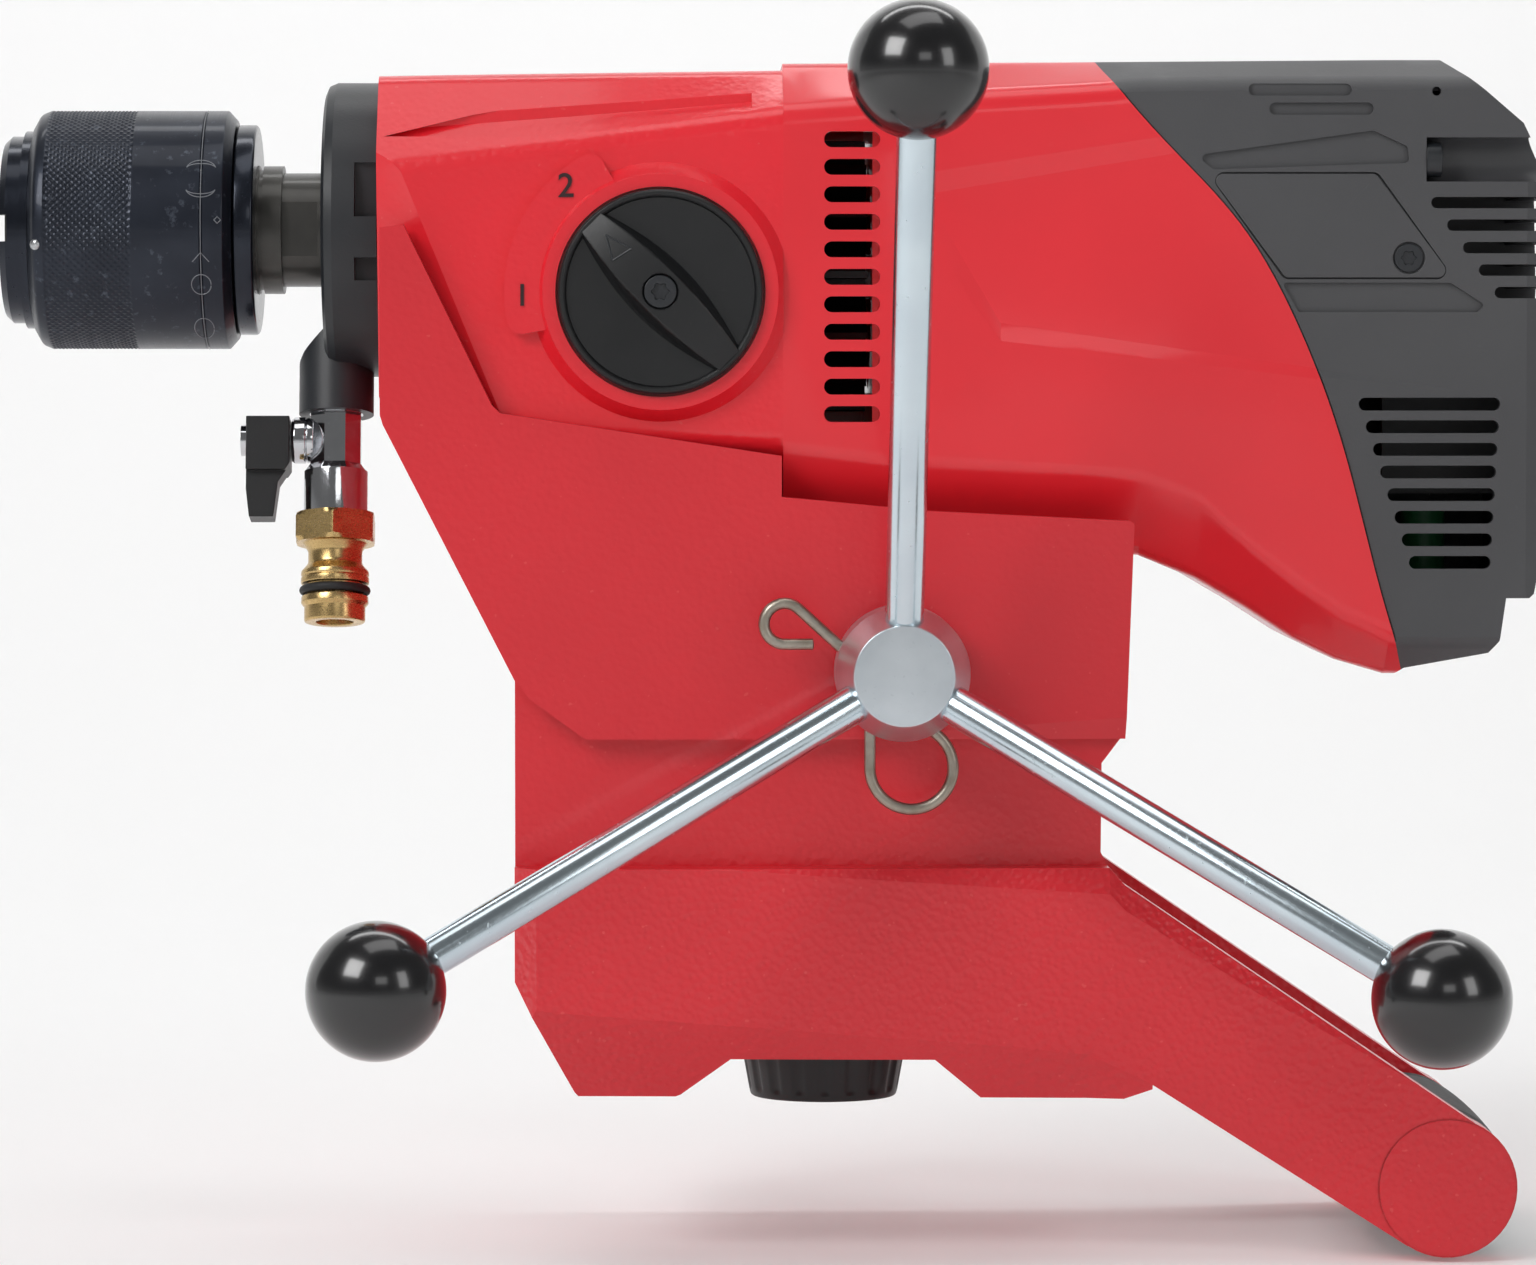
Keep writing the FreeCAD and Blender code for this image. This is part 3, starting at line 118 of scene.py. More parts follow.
def makeStudio(s):
    world = bpy.data.worlds.new("paleRoom")
    bpy.context.scene.world = world
    world.use_nodes = True
    # pale at the skyline and darker overhead
    flow = Flow(world.node_tree)
    upward = flow.node("ShaderNodeSeparateXYZ", None, {"Vector": flow.node("ShaderNodeTexCoord")}, out=2)
    strength = span(flow, upward, 0.02, s["skylineHigh"], s["skyline"], s["world"])
    backdrop = world.node_tree.nodes["Background"]
    backdrop.inputs["Color"].default_value = (1, 1, 1, 1)
    world.node_tree.links.new(strength.socket, backdrop.inputs["Strength"])
    for name, box in s["boxes"].items():
        light = bpy.data.lights.new(name, "AREA")
        light.shape = "RECTANGLE"
        light.size, light.size_y = box["size"]
        light.energy = box["watts"]
        lamp = bpy.data.objects.new(name, light)
        lamp.location = box["place"]
        lookAt(lamp, box["aim"])
        lamp.visible_camera = False
        bpy.context.collection.objects.link(lamp)
    # wide flat floor, and a backdrop that leaves it in a quarter circle and goes on upright; only the
    # backdrop's inner side shows, so the object's far side is seen through it
    back, bend, wide = s["floorBack"], s["floorBend"], s["floorHalf"]
    turn = np.linspace(0, math.pi / 2, 24)
    sweep = np.append(back + bend * np.sin(turn), back + bend)
    rise = np.append(bend * (1 - np.cos(turn)), s["floorRise"])
    makeStage("studioFloor", s["backdropHalf"] * 3, np.array([-wide, wide]), np.zeros(2),
              floorLook("paleFloor", s))
    makeStage("studioBackdrop", s["backdropHalf"], sweep, rise + 0.0002,
              oneSided(floorLook("paleBackdrop", s)))


# strip that carries the line (along, height) sideways from -half to half
def makeStage(name, half, along, height, look):
    across = np.array([half, -half])
    points = np.stack(np.broadcast_arrays(across[:, None], along, height + cadBox[0].z - 0.0005), -1)
    mesh = bpy.data.meshes.new(name)
    mesh.from_pydata(points.reshape(-1, 3).tolist(), [], quads(*points.shape[:2], False, False))
    if mesh.polygons[0].normal.z < 0:
        mesh.flip_normals()
    smoothMesh(mesh, 35)
    mesh.materials.append(look)
    stage = bpy.data.objects.new(name, mesh)
    bpy.context.collection.objects.link(stage)


def smoothMesh(mesh, degrees=None):
    mesh.polygons.foreach_set("use_smooth", np.ones(len(mesh.polygons), bool))
    if degrees:
        mesh.set_sharp_from_angle(angle=math.radians(degrees))


# vertex numbers of a grid's quads, joined round where a direction is closed
def quads(rows, columns, wrapRows, wrapColumns):
    r = np.arange(rows if wrapRows else rows - 1)[:, None]
    c = np.arange(columns if wrapColumns else columns - 1)[None, :]
    nextRow, nextColumn = (r + 1) % rows, (c + 1) % columns
    corners = [r * columns + c, r * columns + nextColumn,
               nextRow * columns + nextColumn, nextRow * columns + c]
    return np.stack(np.broadcast_arrays(*corners), -1).reshape(-1, 4).tolist()


# closed skins from grids of points, each (points, closed along rows, closed along columns):
# equal points are merged, so a row drawn together becomes a pole, and faces are turned outwards
def solidMesh(name, grids, smoothBelow=35):
    work = bmesh.new()
    for points, wrapRows, wrapColumns in grids:
        part = bpy.data.meshes.new("part")
        faces = quads(*points.shape[:2], wrapRows, wrapColumns)
        part.from_pydata(points.reshape(-1, 3).tolist(), [], faces)
        work.from_mesh(part)
        bpy.data.meshes.remove(part)
    bmesh.ops.remove_doubles(work, verts=work.verts, dist=1e-7)
    bmesh.ops.recalc_face_normals(work, faces=work.faces)
    return finishedMesh(name, work, smoothBelow)


def finishedMesh(name, work, smoothBelow):
    mesh = bpy.data.meshes.new(name)
    work.to_mesh(mesh)
    work.free()
    smoothMesh(mesh, smoothBelow)
    piece = bpy.data.objects.new(name, mesh)
    bpy.context.collection.objects.link(piece)
    return piece


# profile with each corner replaced by an arc: the arc's ends lie radius / tan(half the angle)
# from the corner and its centre on the bisector; a point may carry its own radius
def rounded(points, radius, closed=False, steps=5):
    spots = [np.array(point[:2], float) for point in points]
    radii = [point[2] if len(point) > 2 else radius for point in points]
    out = []
    for i, here in enumerate(spots):
        isEnd = not closed and i in (0, len(spots) - 1)
        back, ahead = spots[i - 1] - here, spots[(i + 1) % len(spots)] - here
        lengths = np.linalg.norm(back), np.linalg.norm(ahead)
        back, ahead = back / lengths[0], ahead / lengths[1]
        half = math.acos(np.clip(back @ ahead, -1, 1)) / 2
        if isEnd or radii[i] <= 0 or half > 1.55:
            out.append(here[None])
            continue
        reach = min(radii[i] / math.tan(half), 0.48 * min(lengths))
        r = reach * math.tan(half)
        middle = here + (back + ahead) / np.linalg.norm(back + ahead) * r / math.sin(half)
        first, last = here + back * reach - middle, here + ahead * reach - middle
        sweep = math.atan2(first[0] * last[1] - first[1] * last[0], first @ last)
        a = np.linspace(0, sweep, steps)[:, None]
        side = np.array([-first[1], first[0]])
        out.append(middle + first * np.cos(a) + side * np.sin(a))
    return np.concatenate(out)


# an axis and two unit vectors square to it
def frameAlong(axis):
    axis = np.array(axis, float) / np.linalg.norm(axis)
    helper = np.array((0, 0, 1.0)) if abs(axis[2]) < 0.9 else np.array((1.0, 0, 0))
    first = np.cross(helper, axis)
    first /= np.linalg.norm(first)
    return axis, first, np.cross(axis, first)


# grid of a profile of (distance along the axis, radius) in mm, turned once about the axis;
# shape(along, angle, radius) gives the radius where the piece isn't round
def spun(profile, base, axis, steps=96, shape=None):
    axis, first, second = frameAlong(axis)
    along, radius = profile[:, 0][:, None], profile[:, 1][:, None]
    angle = np.linspace(0, 2 * math.pi, steps, endpoint=False)[None, :]
    if shape is not None:
        radius = shape(along, angle, radius)
    radius = np.broadcast_to(radius, (len(profile), steps)) * mm
    points = np.array(base)[None, None] + along[..., None] * mm * axis
    points = points + (radius * np.cos(angle))[..., None] * first
    return points + (radius * np.sin(angle))[..., None] * second


# half-length of a regular polygon's outline in the direction angle: flat half width / cos(angle
# from the nearest flat's middle)
def polygonRadius(angle, sides, flat, turn=0.0):
    step = 2 * math.pi / sides
    return flat / np.cos((angle + turn + step / 2) % step - step / 2)


# round wire along a path: a circle square to the path at every point, held by the direction up,
# with the two ends domed over
def wireAlong(path, radius, up, steps=16):
    tangent = np.gradient(path, axis=0)
    tangent /= np.linalg.norm(tangent, axis=1)[:, None]
    side = np.cross(tangent, np.broadcast_to(up, path.shape))
    side /= np.linalg.norm(side, axis=1)[:, None]
    over = np.cross(tangent, side)
    angle = np.linspace(0, 2 * math.pi, steps, endpoint=False)[None, :, None]
    ring = side[:, None] * np.cos(angle) + over[:, None] * np.sin(angle)
    body = path[:, None] + radius * ring
    crown = np.array([0.0, 0.45, 0.8])[:, None, None]
    dome = radius * 0.25 * (1 - crown ** 2)
    first = path[0] + ring[0] * radius * crown - tangent[0] * dome
    last = path[-1] + ring[-1] * radius * crown + tangent[-1] * dome
    return np.concatenate([first, body, last[::-1]])


# rides the piece on its nodes' body and takes their place and finish
def settle(piece, *nodes, body=None, slot=None, look=None):
    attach(piece, body or bodyOf[nodes[0]])
    if nodes:
        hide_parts(*nodes)
    slot = slot or slotOf[nodes[0]]
    piece.data.materials.clear()
    piece.data.materials.append(looks[look or slot])
    return piece


# copy of a machined or cast node: triangles merged to flat faces, edges broken by a small radius;
# a shallow crease stays sharp where the faces beside it are too wide to be steps of a rounding
def dressed(node, edge, segments=2, above=12.5, look=None, crease=3.5, wide=2.8):
    work = bmesh.new()
    work.from_mesh(frame["nodes"][node].data)
    bmesh.ops.remove_doubles(work, verts=work.verts, dist=2e-6)
    bmesh.ops.dissolve_limit(work, angle_limit=math.radians(0.6), verts=work.verts, edges=work.edges)
    width = {face: face.calc_area() / max(side.calc_length() for side in face.edges) for face in work.faces}
    for side in work.edges:
        bend = math.degrees(side.calc_face_angle(math.pi))
        isCrease = bend > crease and min(width[face] for face in side.link_faces) > wide * mm
        side.smooth = not (isCrease or bend > above)
    piece = finishedMesh(node + "_skin", work, None)
    bevel = piece.modifiers.new("brokenEdges", "BEVEL")
    bevel.width = edge * mm
    bevel.segments = segments
    bevel.limit_method = "ANGLE"
    bevel.angle_limit = math.radians(above)
    bevel.use_clamp_overlap = True
    bevel.harden_normals = True
    return settle(piece, node, look=look)


# one socket of a material's tree; arithmetic on it adds Math nodes
class Flow:

    def __init__(self, tree, socket=None):
        self.tree = tree
        self.socket = socket

    def node(self, kind, settings=None, sockets=None, out=0):
        made = self.tree.nodes.new(kind)
        for key, value in (settings or {}).items():
            setattr(made, key, value)
        for key, value in (sockets or {}).items():
            if isinstance(value, Flow):
                self.tree.links.new(value.socket, made.inputs[key])
            else:
                made.inputs[key].default_value = value
        return Flow(self.tree, made.outputs[out])

    def math(self, operation, a, b=0.0):
        return self.node("ShaderNodeMath", {"operation": operation}, {0: a, 1: b})

    def __add__(self, other):
        return self.math("ADD", self, other)

    def __radd__(self, other):
        return self.math("ADD", other, self)

    def __sub__(self, other):
        return self.math("SUBTRACT", self, other)

    def __rsub__(self, other):
        return self.math("SUBTRACT", other, self)

    def __mul__(self, other):
        return self.math("MULTIPLY", self, other)

    def __rmul__(self, other):
        return self.math("MULTIPLY", other, self)


def startLook(name):
    material = bpy.data.materials.new(name)
    material.use_nodes = True
    material.node_tree.nodes.clear()
    flow = Flow(material.node_tree)
    place = flow.node("ShaderNodeTexCoord", out="Object")
    return material, flow, place


def endLook(material, flow, sockets):
    surface = flow.node("ShaderNodeBsdfPrincipled", None, sockets)
    end = material.node_tree.nodes.new("ShaderNodeOutputMaterial")
    material.node_tree.links.new(surface.socket, end.inputs["Surface"])
    return material


# noise with features of about 1 / scale metres, drawn out where stretch scales an axis down
def grain(flow, place, scale, detail=3.0, rough=0.5, stretch=None):
    if stretch:
        place = flow.node("ShaderNodeMapping", None, {"Vector": place, "Scale": stretch})
    sockets = {"Vector": place, "Scale": scale, "Detail": detail, "Roughness": rough}
    return flow.node("ShaderNodeTexNoise", None, sockets)


# straight-line map of low..high onto to0..to1, held at its ends
def span(flow, value, low, high, to0=0.0, to1=1.0):
    sockets = {"Value": value, "From Min": low, "From Max": high, "To Min": to0, "To Max": to1}
    return flow.node("ShaderNodeMapRange", {"clamp": True}, sockets)


def blendTone(flow, factor, first, second):
    sockets = {"Factor": factor, 6: first if isinstance(first, Flow) else (*first, 1),
               7: second if isinstance(second, Flow) else (*second, 1)}
    return flow.node("ShaderNodeMix", {"data_type": "RGBA"}, sockets, out=2)


def bump(flow, height):
    return flow.node("ShaderNodeBump", None, {"Height": height, "Distance": 1.0})


def floorLook(name, s):
    material, flow, place = startLook(name)
    tone = blendTone(flow, grain(flow, place, 3), s["floorTone"], [c * 0.985 for c in s["floorTone"]])
    flat = flow.node("ShaderNodeVectorMath", {"operation": "MULTIPLY"}, {0: place, 1: (1.0, 1.0, 0.0)})
    away = flow.node("ShaderNodeVectorMath", {"operation": "LENGTH"}, {0: flat}, out=1)
    glow = span(flow, away, s["glowFrom"], s["glowTo"], s["floorGlow"], s["farGlow"])
    return endLook(material, flow, {"Base Color": tone, "Roughness": 0.9, "Emission Color": glow,
                                    "Emission Strength": 1.0})


# the look's back side lets everything through
def oneSided(material):
    nodes, links = material.node_tree.nodes, material.node_tree.links
    output = next(node for node in nodes if node.type == "OUTPUT_MATERIAL")
    front = output.inputs["Surface"].links[0].from_socket
    mix = nodes.new("ShaderNodeMixShader")
    links.new(nodes.new("ShaderNodeNewGeometry").outputs["Backfacing"], mix.inputs[0])
    links.new(front, mix.inputs[1])
    links.new(nodes.new("ShaderNodeBsdfTransparent").outputs[0], mix.inputs[2])
    links.new(mix.outputs[0], output.inputs["Surface"])
    return material


# powder coat: an uneven tone, orange peel all over, and a coarse pebbled grain that fades out
# between the heights grainFrom and grainTo; here and there a speck of dust stands in the paint
def paintLook(name, s):
    material, flow, place = startLook(name)
    cloud = grain(flow, place, 14, 4)
    tone = blendTone(flow, span(flow, cloud, 0.35, 0.65), s["tone"], s["toneDeep"])
    height = flow.node("ShaderNodeSeparateXYZ", None, {"Vector": place}, out=2)
    coarse = span(flow, height, s["grainFrom"], s["grainTo"], 1.0, s["grainRest"])
    pebbles = flow.node("ShaderNodeTexVoronoi", {"feature": "SMOOTH_F1"},
                        {"Vector": place, "Scale": s["pebbleScale"], "Smoothness": 0.6})
    peel = grain(flow, place, s["peelScale"], 2)
    specks = span(flow, grain(flow, place, 520, 1), 0.74, 0.78)
    tone = blendTone(flow, specks * 0.35, tone, s["toneLight"])
    rough = span(flow, cloud, 0.3, 0.7, s["rough"], s["rough"] + 0.07) + specks * 0.15
    relief = pebbles * coarse * s["pebbleDepth"] + peel * s["peelDepth"]
    return endLook(material, flow, {"Base Color": tone, "Roughness": rough, "Coat Weight": s["coat"],
                                    "Coat Roughness": 0.12, "Normal": bump(flow, relief)})


# moulded plastic: spark-eroded grain in two sizes, faint flow marks and rubbed, shinier patches
def plasticLook(name, s):
    material, flow, place = startLook(name)
    cloud = grain(flow, place, 18, 4)
    rubbed = span(flow, grain(flow, place, 55, 5, 0.6), 0.52, 0.72)
    tone = blendTone(flow, span(flow, cloud, 0.3, 0.7), s["tone"], s["toneDeep"])
    dust = span(flow, grain(flow, place, 700, 2), 0.68, 0.76)
    tone = blendTone(flow, dust * s["wear"], tone, s["toneLight"])
    fine = grain(flow, place, s["grainScale"], 2)
    broad = grain(flow, place, s["grainScale"] * 0.35, 2)
    rough = s["rough"] + cloud * 0.08 - rubbed * s["wear"] * 0.5
    relief = (fine * 0.6 + broad * 0.4) * s["grainDepth"]
    return endLook(material, flow, {"Base Color": tone, "Roughness": rough, "Coat Weight": s["coat"],
                                    "Coat Roughness": s.get("coatRough", 0.1), "Normal": bump(flow, relief)})


# worked metal: streaks drawn out along an axis, patches of tone, specks and pale scuffs;
# where turned gives an axis and a centre, the streaks are rings about that line
def metalLook(name, s):
    material, flow, place = startLook(name)
    cloud = grain(flow, place, s.get("cloudScale", 40), 4)
    if "turned" in s:
        axis, centre = s["turned"]
        moved = flow.node("ShaderNodeVectorMath", {"operation": "SUBTRACT"}, {0: place, 1: tuple(centre)})
        keep = tuple(0.0 if i == axis else 1.0 for i in range(3))
        flat = flow.node("ShaderNodeVectorMath", {"operation": "MULTIPLY"}, {0: moved, 1: keep})
        radius = flow.node("ShaderNodeVectorMath", {"operation": "LENGTH"}, {0: flat}, out=1)
        depth = flow.node("ShaderNodeSeparateXYZ", None, {"Vector": moved}, out=axis)
        lines = flow.node("ShaderNodeCombineXYZ", None, {0: radius, 1: depth})
        streak = grain(flow, lines, s["streakScale"], 3, 0.6)
    else:
        streak = grain(flow, place, s["streakScale"], 3, 0.6, s["stretch"])
    specks = span(flow, grain(flow, place, s.get("speckScale", 900), 1), 0.70, 0.76)
    scuffs = span(flow, grain(flow, place, 330, 4, 0.65), 0.60, 0.72)
    tone = blendTone(flow, span(flow, cloud, 0.3, 0.7), s["tone"], s["toneDeep"])
    tone = blendTone(flow, specks * s.get("speck", 0.3), tone, s["toneDeep"])
    tone = blendTone(flow, scuffs * s.get("scuff", 0.0), tone, s.get("toneLight", s["tone"]))
    rough = s["rough"] + streak * s["roughSpread"] + specks * 0.1
    relief = streak * s["streakDepth"]
    return endLook(material, flow, {"Base Color": tone, "Metallic": s.get("metal", 1.0), "Roughness": rough,
                                    "Coat Weight": s.get("coat", 0.0), "Coat Roughness": 0.08,
                                    "Normal": bump(flow, relief)})


redPaint = {"tone": (0.68, 0.015, 0.026), "toneDeep": (0.62, 0.012, 0.022), "toneLight": (0.78, 0.12, 0.11),
            "grainFrom": -0.012, "grainTo": 0.02, "grainRest": 0.2, "pebbleScale": 560,
            "pebbleDepth": 0.00040, "peelScale": 380, "peelDepth": 0.00010, "rough": 0.34, "coat": 0.30}
gearPaint = dict(redPaint, tone=(0.80, 0.017, 0.030), toneDeep=(0.74, 0.014, 0.025), grainFrom=0.150,
                 grainTo=0.215, grainRest=1.5, pebbleDepth=0.00007, peelDepth=0.00008, rough=0.27, coat=0.4)
shellPlastic = {"tone": (0.80, 0.019, 0.031), "toneDeep": (0.75, 0.016, 0.027), "toneLight": (0.8, 0.12, 0.1),
                "grainScale": 1500, "grainDepth": 0.00002, "rough": 0.30, "wear": 0.06, "coat": 0.45}
capPlastic = {"tone": (0.070, 0.070, 0.074), "toneDeep": (0.059, 0.059, 0.063),
              "toneLight": (0.10, 0.10, 0.11),
              "grainScale": 1700, "grainDepth": 0.00005, "rough": 0.42, "wear": 0.15, "coat": 0.0}
blackPlastic = {"tone": (0.0065, 0.007, 0.008), "toneDeep": (0.005, 0.0055, 0.006),
                "toneLight": (0.03, 0.03, 0.033), "grainScale": 1600, "grainDepth": 0.00005, "rough": 0.38,
                "wear": 0.2, "coat": 0.0}
flangePlastic = dict(blackPlastic, tone=(0.020, 0.022, 0.026), toneDeep=(0.015, 0.017, 0.020), rough=0.36)
ballGloss = {"tone": (0.0025, 0.0025, 0.003), "toneDeep": (0.003, 0.003, 0.004),
             "toneLight": (0.02, 0.02, 0.02),
             "grainScale": 260, "grainDepth": 0.000003, "rough": 0.20, "wear": 0.05, "coat": 0.8,
             "coatRough": 0.11}
rubberSet = {"tone": (0.010, 0.010, 0.011), "toneDeep": (0.007, 0.007, 0.008),
             "toneLight": (0.03, 0.03, 0.03),
             "grainScale": 900, "grainDepth": 0.00008, "rough": 0.55, "wear": 0.2, "coat": 0.0}
gripRubber = dict(rubberSet, tone=(0.030, 0.030, 0.031), toneDeep=(0.024, 0.024, 0.025), grainScale=700,
                  grainDepth=0.0002, rough=0.62)
padPlastic = {"tone": (0.70, 0.69, 0.64), "toneDeep": (0.62, 0.61, 0.56), "toneLight": (0.8, 0.8, 0.76),
              "grainScale": 900, "grainDepth": 0.00003, "rough": 0.45, "wear": 0.2, "coat": 0.0}
boardGreen = dict(padPlastic, tone=(0.02, 0.16, 0.05), toneDeep=(0.015, 0.12, 0.04),
                  toneLight=(0.3, 0.3, 0.2))
windingSet = dict(padPlastic, tone=(0.35, 0.10, 0.03), toneDeep=(0.25, 0.06, 0.02), rough=0.3, coat=0.6)
carbonSet = dict(blackPlastic, rough=0.55)
markGrey = dict(padPlastic, tone=(0.22, 0.23, 0.25), toneDeep=(0.13, 0.14, 0.16), rough=0.4)
numeralInk = dict(blackPlastic, tone=(0.030, 0.008, 0.009), toneDeep=(0.022, 0.006, 0.007))

steelSet = {"tone": (0.56, 0.57, 0.58), "toneDeep": (0.40, 0.41, 0.42), "rough": 0.24, "roughSpread": 0.14,
            "streakScale": 1800, "streakDepth": 0.000006, "turned": (0, spindleAxis)}
bluedSet = {"tone": (0.022, 0.027, 0.040), "toneDeep": (0.012, 0.015, 0.024), "toneLight": (0.13, 0.15, 0.19),
            "rough": 0.17, "roughSpread": 0.12, "streakScale": 2600, "streakDepth": 0.000006,
            "turned": (0, spindleAxis), "cloudScale": 60, "speck": 0.15, "metal": 0.7, "coat": 0.2}
knurlSet = dict(bluedSet, scuff=0.4, rough=0.3)
neckSet = dict(bluedSet, tone=(0.075, 0.072, 0.066), toneDeep=(0.05, 0.048, 0.045), rough=0.3,
               streakDepth=0.00002)
rodSet = {"tone": (0.71, 0.81, 0.86), "toneDeep": (0.60, 0.69, 0.75), "rough": 0.13, "roughSpread": 0.12,
          "streakScale": 900, "streakDepth": 0.000003, "turned": (1, wheelAxis), "speck": 0.35,
          "speckScale": 700}
hubSet = {"tone": (0.70, 0.75, 0.79), "toneDeep": (0.52, 0.57, 0.61), "rough": 0.28, "roughSpread": 0.18,
          "streakScale": 1500, "streakDepth": 0.000020, "turned": (1, wheelAxis)}
wireSet = {"tone": (0.46, 0.41, 0.35), "toneDeep": (0.30, 0.26, 0.21), "rough": 0.28, "roughSpread": 0.2,
           "streakScale": 900, "stretch": (1, 1, 1), "streakDepth": 0.00001, "cloudScale": 200}
chromeSet = {"tone": (0.66, 0.67, 0.69), "toneDeep": (0.52, 0.53, 0.55), "rough": 0.06, "roughSpread": 0.08,
             "streakScale": 500, "stretch": (1, 1, 1), "streakDepth": 0.00002, "speck": 0.4,
             "speckScale": 1100}
brassSet = {"tone": (0.66, 0.46, 0.21), "toneDeep": (0.52, 0.36, 0.15), "rough": 0.20, "roughSpread": 0.14,
            "streakScale": 1500, "streakDepth": 0.000008, "stretch": (1, 1, 6), "cloudScale": 150}
ringSet = dict(steelSet, tone=(0.80, 0.80, 0.82), toneDeep=(0.62, 0.62, 0.64), metal=0.3)
gearSet = dict(steelSet, tone=(0.34, 0.34, 0.35), toneDeep=(0.22, 0.22, 0.23))
castSet = dict(steelSet, tone=(0.55, 0.56, 0.57), rough=0.45, streakDepth=0.00005)
copperSet = dict(steelSet, tone=(0.72, 0.34, 0.18), toneDeep=(0.5, 0.22, 0.1))
bronzeSet = dict(steelSet, tone=(0.52, 0.34, 0.14), toneDeep=(0.36, 0.23, 0.1))
ironSet = dict(steelSet, tone=(0.2, 0.2, 0.21), toneDeep=(0.13, 0.12, 0.12), rough=0.4)

# every slot of the record has a finish here, and a few pieces have a finish of their own
looks = {
    "red_paint": paintLook("redPowderCoat", redPaint),
    "red_gearbox": paintLook("redGearboxPaint", gearPaint),
    "red_housing": plasticLook("redMouldedShell", shellPlastic),
    "cap_plastic": plasticLook("greyCapPlastic", capPlastic),
    "black_plastic": plasticLook("blackPlastic", blackPlastic),
    "black_flange": plasticLook("blackFlange", flangePlastic),
    "gloss_black": plasticLook("glossBallBlack", ballGloss),
    "rubber": plasticLook("sealRubber", rubberSet),
    "grip_rubber": plasticLook("gripRubber", gripRubber),
    "pad_plastic": plasticLook("slidePadPlastic", padPlastic),
    "board": plasticLook("circuitBoard", boardGreen),
    "winding": plasticLook("varnishedWinding", windingSet),
    "carbon": plasticLook("brushCarbon", carbonSet),
    "mark_grey": plasticLook("markGrey", markGrey),
    "numeral_ink": plasticLook("numeralInk", numeralInk),
    "blued_steel": metalLook("bluedSteel", bluedSet),
    "blued_knurl": metalLook("bluedKnurl", knurlSet),
    "blued_neck": metalLook("bluedNeck", neckSet),
    "steel": metalLook("groundSteel", steelSet),
    "ring_steel": metalLook("clampRingSteel", ringSet),
    "zinc_steel": metalLook("zincHubSteel", hubSet),
    "rod_steel": metalLook("polishedRodSteel", rodSet),
    "spring_steel": metalLook("springWire", wireSet),
    "chrome": metalLook("valveChrome", chromeSet),
    "brass": metalLook("turnedBrass", brassSet),
    "gear_steel": metalLook("gearSteel", gearSet),
    "lamination": metalLook("laminatedIron", ironSet),
    "copper": metalLook("commutatorCopper", copperSet),
    "cast_aluminium": metalLook("castAluminium", castSet),
    "bronze": metalLook("sinteredBronze", bronzeSet),
}
nodeLooks = {"swivel_clamp_ring": "ring_steel", "gearbox_housing": "red_gearbox",
             "water_swivel": "black_flange",
             "chuck_body": "blued_neck", "spindle": "blued_neck"}
for node, thing in frame["nodes"].items():
    for materialSlot in thing.material_slots:
        materialSlot.material = looks[nodeLooks.get(node, slotOf[node])]
print("materials made,", len(looks))

makeCamera(cameraSettings)
makeStudio(studioSettings)
print("studio made")

# housings, castings and small fittings keep their engineered shape, with broken edges in mm
edgeSettings = {"carriage_casting": 0.9, "gearbox_housing": 0.5, "motor_housing": 0.4, "rear_cap": 0.35,
                "brush_covers": 0.25, "water_swivel": 0.5, "chuck_front_ring": 0.3, "spindle": 0.3,
                "chuck_body": 0.25, "valve_lever": 0.7, "pinion_shaft": 0.25, "pinion_bushes": 0.3,
                "guide_pads": 0.3, "switch_module": 0.5, "switch_rocker": 0.3, "cable_gland": 0.3,
                "valve_ball_and_stem": 0.3, "handle_bar": 0.5}
for node, edge in edgeSettings.items():
    dressed(node, edge, 3 if edge > 0.6 else 2, look=nodeLooks.get(node))
print("housings dressed,", len(edgeSettings))

spindleBase = spindleAxis * (0, 1, 1)
sleeveSettings = {"front": -206.8, "rear": -152.6, "radius": 32.0, "bore": 24.3, "knurlFrom": -202.3,
                  "knurlTo": -179.0, "knurlDepth": 0.42, "diamonds": 104, "pitch": 1.95,
                  "groove": -160.5}


# sleeve: two crossing triangle waves make the knurl, whose height is that of the lower wave
def makeChuckSleeve(s):
    def knurl(along, angle, radius):
        inside = np.clip((along - s["knurlFrom"]) / 0.4, 0, 1) * np.clip((s["knurlTo"] - along) / 0.4, 0, 1)
        turns = angle * s["diamonds"] / (2 * math.pi)
        left = np.abs((turns + along / s["pitch"]) % 1 - 0.5) * 2
        right = np.abs((turns - along / s["pitch"]) % 1 - 0.5) * 2
        isOuter = (radius > s["bore"] + 5) & (inside > 0)
        return radius + np.where(isOuter, (np.minimum(left, right) - 0.9) * s["knurlDepth"] * inside, 0)

    r = s["radius"]
    shell = rounded([(s["front"], s["bore"]), (s["front"], 27.6, 1.0), (-204.9, 31.0, 2.0),
                     (s["knurlFrom"] - 0.1, r, 0.4)], 0.5)
    band = np.column_stack([np.linspace(s["knurlFrom"], s["knurlTo"], 78), np.full(78, r)])
    back = rounded([(s["knurlTo"] + 0.1, r), (s["groove"] - 0.5, r, 0), (s["groove"], r - 0.45, 0.2),
                    (s["groove"] + 0.5, r, 0), (-154.9, r, 0.6), (s["rear"], 29.4, 0.5),
                    (s["rear"], s["bore"])], 0.3)
    profile = np.concatenate([shell, band, back])
    return solidMesh("chuck_sleeve_knurled",
                     [(spun(profile, spindleBase, (1, 0, 0), s["diamonds"] * 6, knurl), True, True)], 40)


